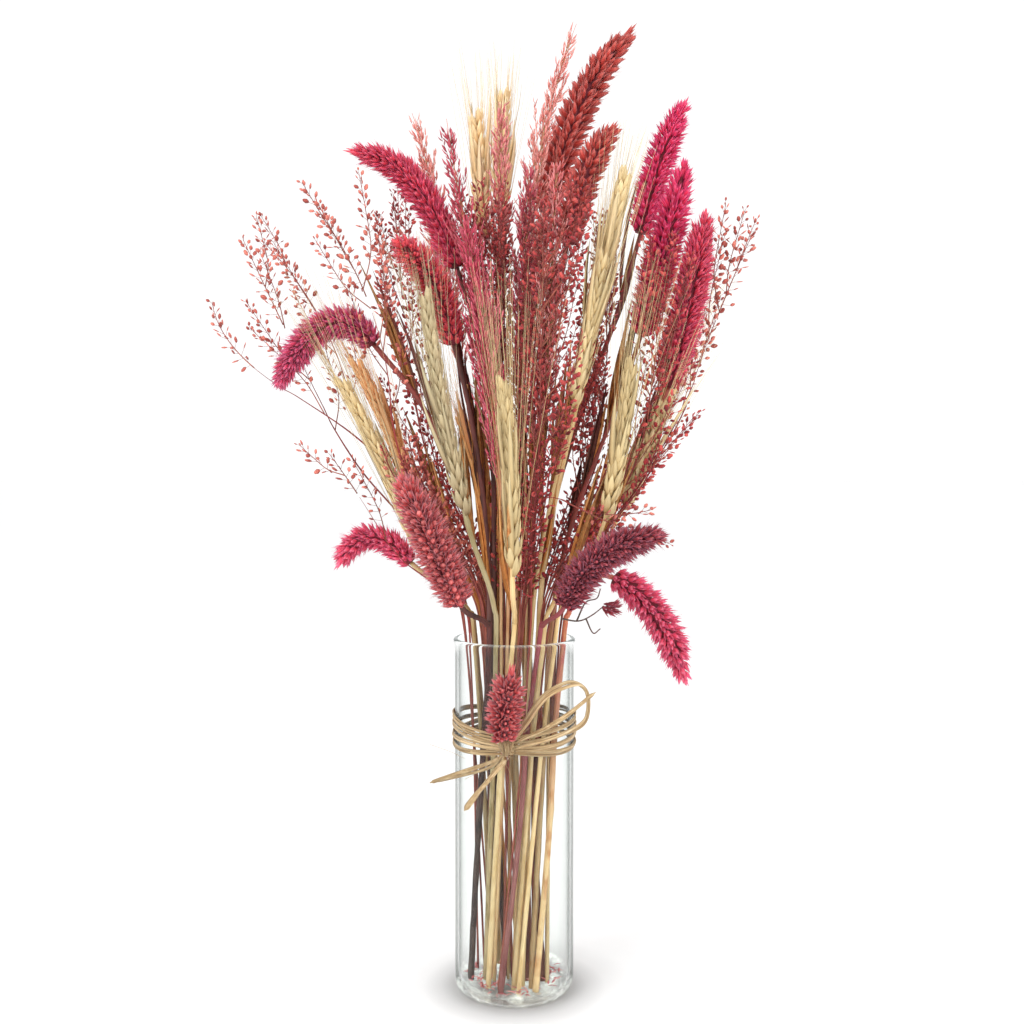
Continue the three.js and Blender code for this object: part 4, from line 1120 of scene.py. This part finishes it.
# Reaches are given at shares of the head's length, from its foot to its tip
grass = dict(clusterEvery=3.6, fullLength=0.93, branches=4, spacing=2.1, length=4.8, width=0.6, depth=0.45,
             reach=10.5, reachAt=[0, 0.15, 0.4, 0.75, 1], reaches=[0.5, 0.85, 1, 0.5, 0.14], lean=20,
             branchRadius=0.16, branchTip=0.08, bareBranch=0.25, before=2, start=0.02, shift=0.01,
             branchLengths=(0.25, 1), thinnest=0.6, leans=(0.6, 1.3), branchBend=0.03, gaps=(0, 0.8),
             asides=(0.1, 0.5), lengths=(0.7, 1.2), widths=(0.75, 1.15), bow=0.05,
             profile=[(0.15, 0.7), (0.45, 1), (0.8, 0.5)])


def grassPiece(number, row, spine):
    lot = lotOf("grass", number)
    shape = Shape()
    addStalk(shape, "grass", number - 1, 1, into=0.95, slimness=0.7)
    clusters = int(spine.length * grass["fullLength"] / grass["clusterEvery"])
    fullness = row.get("fullness", 1)
    branches = round(grass["branches"] * fullness)
    shares = np.repeat(np.arange(clusters), branches) * grass["clusterEvery"] / spine.length
    count = len(shares)
    shares = shares + grass["start"] + spread(lot, count, -grass["shift"], grass["shift"])
    place, ahead, away = pair(spine, shares, spread(lot, count, 0, fullTurn))
    reach = grass["reach"] * np.interp(shares, grass["reachAt"], grass["reaches"])
    reach = reach * spread(lot, count, *grass["branchLengths"]) * lerp(grass["thinnest"], 1, fullness)
    lean = np.radians(grass["lean"] * spread(lot, count, *grass["leans"]))[:, None]
    axis = leaning(ahead, away, lean)
    lengths = reach / np.sin(lean[:, 0])
    luck = lot.random(count)
    ends = place + axis * lengths[:, None]
    shape.rods(place, ends, grass["branchRadius"], grass["branchTip"], bend=grass["branchBend"], luck=luck,
               finish=1, rows=3)
    for step in range(int(lengths.max() / grass["spacing"]) + 1):  # spikelets down each branch from its end
        here = lengths - step * grass["spacing"] - spread(lot, count, *grass["gaps"])
        kept = (here > grass["bareBranch"] * lengths) | (step == 0)
        some = int(kept.sum())
        if not some:
            continue
        root = place[kept] + axis[kept] * np.maximum(0, here[kept])[:, None]
        aside = unit(lot.normal(0, 1, (some, 3)))
        heading = axis[kept] + square(aside, axis[kept]) * spread(lot, some, *grass["asides"])[:, None]
        shape.blades(root, heading, aside, grass["length"] * spread(lot, some, *grass["lengths"]),
                     grass["width"] * spread(lot, some, *grass["widths"]), grass["depth"],
                     grass["profile"], bow=grass["bow"], luck=0.7 * luck[kept] + 0.3 * lot.random(some))
    node = f"grass_{number}"
    shape.build(f"dyed_grass_{number}", [spikelets[row["look"]], stems["dyedStraw"]], slotOf[node], node)


for index, row in enumerate(grasses):
    grassPiece(index + 1, row, headLine("grass", index, 60, grass["before"]))
print("grass heads made:", len(grasses))


spray = dict(podEvery=1.5, podLength=3.8, podWidth=1.3, podDepth=0.35, pedicel=3.2, pedicelRadius=0.12,
             pedicelTip=0.09, baseLean=72, tipLean=35, branchRadius=0.34, branchBare=0.22, topRadius=0.36,
             topStart=0.7, topBare=0.05, least=34, most=62, leaveLean=36, goldenAngle=2.4, sideways=85,
             before=2, branchEnd=0.4, crowding=0.95, pedicelEnds=(1.15, 0.5), pedicels=(0.75, 1.2),
             leans=(0.8, 1.2), podLift=0.15, podStray=0.2, topPod=0.6, pods=(0.75, 1.15), lastBranch=0.85,
             branchShift=0.03, branchTurn=0.4, fullSpan=1.02, spanShare=0.8, stub=14, leaves=(0.6, 1.15),
             bends=[(0.4, 0), (0.6, 0.25), (0.72, 0.45)], podProfile=[(0.1, 0.5), (0.45, 1), (0.86, 0.6)])
# A full spray has more than fullFrom branches in its row, and a thin one no more than that
fullSpray = dict(fullFrom=7, wide=0.7, start=0.05, share=2.2, threads=6)
thinSpray = dict(wide=1, start=0.35, share=1.1, threads=0)
thread = dict(shifts=(4, 13), lengths=(0.85, 1), steps=60, thick=0.55, thin=0.34, podsFrom=0.5, podRadius=0.3)


def addRaceme(shape, points, lot, bare, radius):
    # A thin branch with a pod on its own stalk every few millimetres, turning round it as they climb
    spine = Spine(smoothLine(points, 14))
    taper = lerp(radius, radius * spray["branchEnd"], spine.shares)[:, None, None]
    shape.loft(spine, roundSection[5] * taper, luck=lot.random(), finish=1)
    count = int(spine.length * (1 - bare) / spray["podEvery"])
    shares = np.linspace(bare, 1, count) ** spray["crowding"]
    angles = np.arange(count) * spray["goldenAngle"] + lot.uniform(0, fullTurn)
    place, ahead, away = pair(spine, shares, angles)
    length = spray["pedicel"] * lerp(*spray["pedicelEnds"], shares ** 3)
    length = length * spread(lot, count, *spray["pedicels"])
    lean = lerp(spray["baseLean"], spray["tipLean"], shares) * spread(lot, count, *spray["leans"])
    axis = leaning(ahead, away, np.radians(lean)[:, None])
    ends = place + axis * length[:, None]
    shape.rods(place, ends, spray["pedicelRadius"], spray["pedicelTip"], rows=2, luck=lot.random(count),
               finish=1)
    podAxis = unit(axis + (0, 0, spray["podLift"]) + lot.normal(0, spray["podStray"], (count, 3)))
    face = unit(np.cross(podAxis, lot.normal(0, 1, (count, 3))))
    scale = lerp(1, spray["topPod"], shares ** 4) * spread(lot, count, *spray["pods"])
    shape.blades(ends, podAxis, face, spray["podLength"] * scale, spray["podWidth"] * scale,
                 spray["podDepth"], spray["podProfile"], roundSection[4], luck=lot.random(count))


def addThread(shape, number, lot):
    # A thin side stem that leaves the main one at the rim, with a few small pods on its upper part
    points = strands["spray"][number - 1][strandSteps["glass"] - 1:headStart + 1]
    rise = np.linspace(0, 1, len(points))[:, None] ** 0.8
    turn = lot.uniform(0, fullTurn)
    shift = np.array([math.cos(turn), math.sin(turn), 0]) * lot.uniform(*thread["shifts"])
    line = smoothLine(points + shift * rise, thread["steps"])
    spine = Spine(line[:round(thread["steps"] * lot.uniform(*thread["lengths"]))])
    radii = lerp(thread["thick"], thread["thin"], spine.shares)
    shape.loft(spine, roundSection[6] * radii[:, None, None], luck=lot.random(), finish=1)
    top = spine.at(np.linspace(thread["podsFrom"], 1, 8))[0]
    addRaceme(shape, top, lot, spray["topBare"], thread["podRadius"])


def sprayPiece(number, row, spine):
    lot = lotOf("spray", number)
    shape = Shape()
    addStalk(shape, "spray", number - 1, 1, into=0.5, slimness=0.62)
    top = spine.at(np.linspace(spray["topStart"], 1, 8))[0]
    addRaceme(shape, top, lot, spray["topBare"], spray["topRadius"])
    sort = fullSpray if row["branches"] > fullSpray["fullFrom"] else thinSpray
    wide = row.get("wide", sort["wide"])
    branches = round(row["branches"] * sort["share"])
    for branch, share in enumerate(np.linspace(sort["start"], spray["lastBranch"], branches)):
        share = share + lot.uniform(-spray["branchShift"], spray["branchShift"])
        angle = branch * spray["goldenAngle"] + lot.uniform(-spray["branchTurn"], spray["branchTurn"])
        if "side" in row:  # kept clear of the ear in front
            angle = math.radians(row["side"] + lot.uniform(-spray["sideways"], spray["sideways"]))
        found = pair(spine, np.array([max(0, share)]), np.array([angle]))
        place, ahead, away = (values[0] for values in found)
        most = (spray["fullSpan"] - share) * spine.length * spray["spanShare"] + spray["stub"]
        length = min(lot.uniform(spray["least"], spray["most"]), most)
        lean = math.radians(spray["leaveLean"] * lot.uniform(*spray["leaves"]) * wide)
        first = leaning(ahead, away, lean)
        points = [place] + [place + first * length * out + ahead * length * up
                            for out, up in spray["bends"]]  # it turns up beside the stem
        addRaceme(shape, points, lot, spray["branchBare"], spray["branchRadius"])
    for _ in range(row.get("threads", sort["threads"])):
        addThread(shape, number, lot)
    node = f"peppergrass_{number}"
    shape.build(f"seed_spray_{number}", [pods[row["look"]], stems["twig"]], slotOf[node], node)


for index, row in enumerate(sprays):
    sprayPiece(index + 1, row, headLine("spray", index, 60, spray["before"]))
print("seed sprays made:", len(sprays))


vase = dict(sides=128, outside=(12, 30, 60, 90, 120, 150, 172), inside=(172, 150, 120, 90, 60, 30, 14),
            middle=0.6, footRise=0.9, footRing=5, footHollow=0.6, footEdge=1, innerCorner=4, lipShare=0.75,
            flareBulge=0.2, flareLength=3, rimLength=1.6, floorRings=[(12, 0.15), (20, 0.5)], floorRise=0.7)


def vasePiece():
    # Turned from one line: under the foot, up the outside, over the lip and down the inside
    g = glass
    corner = g["cornerRadius"]
    inner = g["radius"] - g["wall"]
    flare = g["height"] - g["flareHeight"]
    lip = (g["rimRadius"] - inner) / 2
    lipRise = lip * vase["lipShare"]
    lipTurns = np.linspace(0.2, math.pi, 9)
    bend = vase["innerCorner"]
    profile = [(vase["middle"], vase["footRise"]), (g["footRadius"] - vase["footRing"], vase["footHollow"]),
               (g["footRadius"] - vase["footEdge"], 0)]
    profile += [(g["radius"] - corner + corner * math.cos(turn), corner + corner * math.sin(turn))
                for turn in np.linspace(-math.pi / 2, 0, 9)]
    profile += [(g["radius"], level) for level in vase["outside"]]
    profile += [(g["radius"], flare), (g["radius"] + vase["flareBulge"], flare + vase["flareLength"]),
                (g["rimRadius"], g["height"] - vase["rimLength"])]
    profile += [(g["rimRadius"] - lip + lip * math.cos(turn),
                 g["height"] - lipRise + lipRise * math.sin(turn)) for turn in lipTurns]
    profile += [(inner, level) for level in (flare, *vase["inside"])]
    profile += [(inner - bend + bend * math.cos(turn), g["floor"] + bend - bend * math.sin(turn))
                for turn in np.linspace(0, math.pi / 2, 7)[1:]]
    profile += [(inner - inwards, g["floor"] + rise) for inwards, rise in vase["floorRings"]]
    profile += [(vase["middle"], g["floor"] + vase["floorRise"])]
    profile = np.array(profile)
    around = np.arange(vase["sides"]) * fullTurn / vase["sides"]
    circle = np.stack([np.cos(around), np.sin(around)], -1)
    rows = len(profile)
    centres = np.zeros((1, rows, 3))
    centres[0, :, 2] = profile[:, 1]
    tips = np.array([[(0, 0, profile[0, 1]), (0, 0, profile[-1, 1])]], float)
    shape = Shape()
    shape.rings(centres, np.tile((1.0, 0, 0), (1, rows, 1)), np.tile((0, 1.0, 0), (1, rows, 1)),
                (profile[:, None, :1] * circle)[None], tips, np.array([0.5]),
                np.linspace(0, 1, rows)[None], 0)
    shape.build("clear_vase", [glassFinish()], slotOf["vase"], "vase")


vasePiece()
print("vase made")


tie = dict(level=143, turns=4, pitch=4.8, dip=3, strands=3, strandWidth=0.62, strandDepth=0.4,
           strandStep=0.85, turnSteps=130, lift=0.75, endWidth=1.25, endDepth=0.45, endSpread=0.8,
           closeness=0.5, sway=0.35, strandSway=0.3, bulge=0.25, groove=0.22, swell=0.12, taper=0.05,
           endShare=0.3, hairs=26, hairRadius=0.1, hairLengths=(5, 14), hairBend=0.25, hairAcross=7,
           hairForward=(-3, -1), hairUp=4)
knot = dict(centre=(-4.4, -36.6, 140), size=(4.2, 2.7, 4.6), wraps=8, lean=0.55, width=0.95, depth=0.5,
            sweep=1.15, before=0.2, sway=0.2, flare=0.5, tallness=0.8, stray=0.25, twist=0.3, steps=24)
bowLoop = [(-3, -38, 141), (6, -41, 154), (16, -44, 168), (27, -44, 175), (36, -40, 171), (38, -36, 161),
           (34, -37, 153), (20, -40, 146), (0, -38, 138)]
shortEnd = [(0, -39, 142), (22, -41.5, 154), (42, -38, 170)]
leftEnd = [(-6, -39, 137), (-14, -42, 132), (-42, -43, 123)]
lowEnd = [(-5, -39, 135), (-14, -42, 123), (-25, -44, 110)]
looseEnds = (bowLoop, bowLoop, shortEnd, leftEnd, lowEnd, leftEnd, lowEnd)


def fibreSection(width, depth, steps, lot, sides=12):
    # A flat strand with lengthwise grooves, a little wider here and narrower there
    groove = 1 + tie["groove"] * lot.normal(size=sides)
    swell = 1 + tie["swell"] * np.sin(np.linspace(0, 9, steps) + lot.uniform(0, 6))
    return roundSection[sides] * np.array([width, depth]) * (groove[None] * swell[:, None])[..., None]


def addStrand(shape, points, lot, width, depth, twist=0.6, steps=70):
    spine = Spine(smoothLine(points, steps), (0, 0, 1))
    turn = twist * np.sin(np.linspace(0, 4, steps) + lot.uniform(0, 6))
    spine.acrosses = radials(spine.acrosses, np.cross(spine.aheads, spine.acrosses), turn)
    taper = np.clip(np.minimum(spine.shares, 1 - spine.shares) / tie["taper"], tie["endShare"], 1)
    section = fibreSection(width, depth, steps, lot) * taper[:, None, None]
    shape.loft(spine, section, luck=lot.random())


def addTurns(shape, lot):
    # The turns drop a little in front and draw together towards the knot and behind the glass
    steps = tie["turnSteps"]
    angles = np.linspace(0, fullTurn, steps) - math.pi / 2
    for turn in range(tie["turns"]):
        place = turn - (tie["turns"] - 1) / 2
        spacing = place * tie["pitch"] * lerp(tie["closeness"], 1, np.abs(np.cos(angles)))
        dip = tie["dip"] * np.minimum(0, np.sin(angles))
        for strand in range(tie["strands"]):
            shift = (strand - (tie["strands"] - 1) / 2) * tie["strandStep"]
            wave = (tie["sway"] * np.sin(angles * 3 + turn * 2)
                    + tie["strandSway"] * np.sin(angles * 2 + strand * 2.3 + turn))
            radius = glass["radius"] + tie["lift"] + tie["bulge"] * np.sin(angles * 4 + strand * 3 + turn)
            level = tie["level"] + spacing + dip + wave + shift
            line = np.stack([np.cos(angles) * radius, np.sin(angles) * radius, level], -1)
            section = fibreSection(tie["strandWidth"], tie["strandDepth"], steps, lot)
            shape.loft(Spine(line, (0, 0, 1)), section, luck=lot.random())


def addKnot(shape, lot):
    width, depth, height = knot["size"]
    turn = np.linspace(0, math.pi * knot["sweep"], 18) - knot["before"]
    for wrap in range(knot["wraps"]):
        lean = lerp(-knot["lean"], knot["lean"], wrap / (knot["wraps"] - 1))
        across = knot["sway"] * math.sin(wrap * 2.1) + lean + lean * knot["flare"] * np.cos(turn)
        points = np.stack([width * across, -depth * np.sin(turn),
                           height * knot["tallness"] * np.cos(turn)], -1)
        points = np.array(knot["centre"]) + points + lot.normal(0, knot["stray"], 3)
        addStrand(shape, points, lot, knot["width"], knot["depth"], knot["twist"], knot["steps"])


def addHairs(shape, lot):
    # Fine loose fibres round the knot and along the turns beside it
    for _ in range(tie["hairs"]):
        shift = (lot.normal(0, tie["hairAcross"]), lot.uniform(*tie["hairForward"]),
                 lot.normal(0, tie["hairUp"]))
        start = np.array(knot["centre"]) + shift
        heading = unit(np.array([lot.normal(0, 1), lot.uniform(-0.7, 0), lot.normal(-0.2, 0.8)]))
        length = lot.uniform(*tie["hairLengths"])
        bend = lot.normal(0, tie["hairBend"], 3) * length
        points = [start, start + heading * length * 0.5 + bend * 0.3, start + heading * length + bend]
        shape.loft(Spine(smoothLine(points, 10)), roundSection[4] * tie["hairRadius"], luck=lot.random())


def raffiaPiece():
    lot = lotOf("raffia", 1)
    shape = Shape()
    addTurns(shape, lot)
    addKnot(shape, lot)
    for points in looseEnds:
        moved = np.array(points) + lot.normal(0, tie["endSpread"], (len(points), 3))
        addStrand(shape, moved, lot, tie["endWidth"] * lot.uniform(0.6, 1.1), tie["endDepth"])
    addHairs(shape, lot)
    shape.build("raffia_bow", [raffiaFinish()], slotOf["raffia_tie"], "raffia_tie")


raffiaPiece()
print("raffia tied")


bits = dict(count=120, reach=26, middle=0.2, levels=(4.9, 5.6), lengths=(2.5, 7), widths=(0.35, 0.9),
            depth=0.25, bow=0.12, profile=[(0.15, 0.6), (0.5, 1), (0.85, 0.5)])


def fallenBits():
    # Bits of petal and chaff that lie on the floor of the glass
    lot = lotOf("bits", 1)
    shape = Shape()
    count = bits["count"]
    angle = spread(lot, count, 0, fullTurn)
    radius = bits["reach"] * np.sqrt(spread(lot, count, bits["middle"], 1))
    level = spread(lot, count, *bits["levels"])
    places = np.stack([np.cos(angle) * radius, np.sin(angle) * radius, level], -1)
    heading = spread(lot, count, 0, fullTurn)
    ahead = np.stack([np.cos(heading), np.sin(heading), spread(lot, count, 0, 0.2)], -1)
    up = np.tile((0.0, 0, 1), (count, 1))
    shape.blades(places, ahead, up, spread(lot, count, *bits["lengths"]), spread(lot, count, *bits["widths"]),
                 bits["depth"], bits["profile"], bow=bits["bow"], luck=lot.random(count))
    shape.build("fallen_petals", [spikelets["rosy"]], slotOf["celosia_head_4"])


fallenBits()
print("fallen petals laid")


# A wide white floor, a white room and three soft lamps, in metres and watts
scene = bpy.context.scene
studio = dict(floorReach=60, roomLight=1.08)
lamps = {
    "key_lamp": dict(place=(-0.9, -0.8, 1.3), aim=(0, 0, 0.3), power=9, width=0.9),
    "fill_lamp": dict(place=(1.1, -0.6, 0.7), aim=(0, 0, 0.3), power=4, width=1.2),
    "low_lamp": dict(place=(0.2, -1.3, 0.15), aim=(0, 0, 0.25), power=5, width=1.2),
}


def floorPiece():
    mesh = bpy.data.meshes.new("floor")
    side = studio["floorReach"]
    corners = [(-side, -side, 0), (side, -side, 0), (side, side, 0), (-side, side, 0)]
    mesh.from_pydata(corners, [], [(0, 1, 2, 3)])
    mesh.materials.append(floorFinish())
    floor = bpy.data.objects.new("floor", mesh)
    scene.collection.objects.link(floor)


def areaLamp(name, place, aim, power, width):
    lamp = bpy.data.lights.new(name, "AREA")
    lamp.energy = power
    lamp.size = width
    piece = bpy.data.objects.new(name, lamp)
    piece.location = place
    heading = np.array(aim, float) - place
    piece.rotation_euler = (math.atan2(math.hypot(*heading[:2]), -heading[2]), 0,
                            math.atan2(heading[0], -heading[1]) + math.pi)
    scene.collection.objects.link(piece)


def whiteRoom():
    room = bpy.data.worlds.new("white_room")
    room.use_nodes = True
    background = room.node_tree.nodes["Background"]
    background.inputs["Color"].default_value = white
    background.inputs["Strength"].default_value = studio["roomLight"]
    scene.world = room
    scene.view_settings.view_transform = "Standard"


floorPiece()
for name, lamp in lamps.items():
    areaLamp(name, **lamp)
whiteRoom()
print("studio lit")

# The photograph's own view, from a little above the middle and nearly level
view = dict(place=(-0.00125, -0.63715, 0.28037), pitch=0.03152, lens=41.206, sensor=36, nearest=0.01)
camera = bpy.data.objects.new("camera", bpy.data.cameras.new("camera"))
camera.location = view["place"]
camera.rotation_euler = (math.pi / 2 - view["pitch"], 0, 0)
camera.data.lens = view["lens"]
camera.data.sensor_width = view["sensor"]
camera.data.clip_start = view["nearest"]
scene.collection.objects.link(camera)
scene.camera = camera
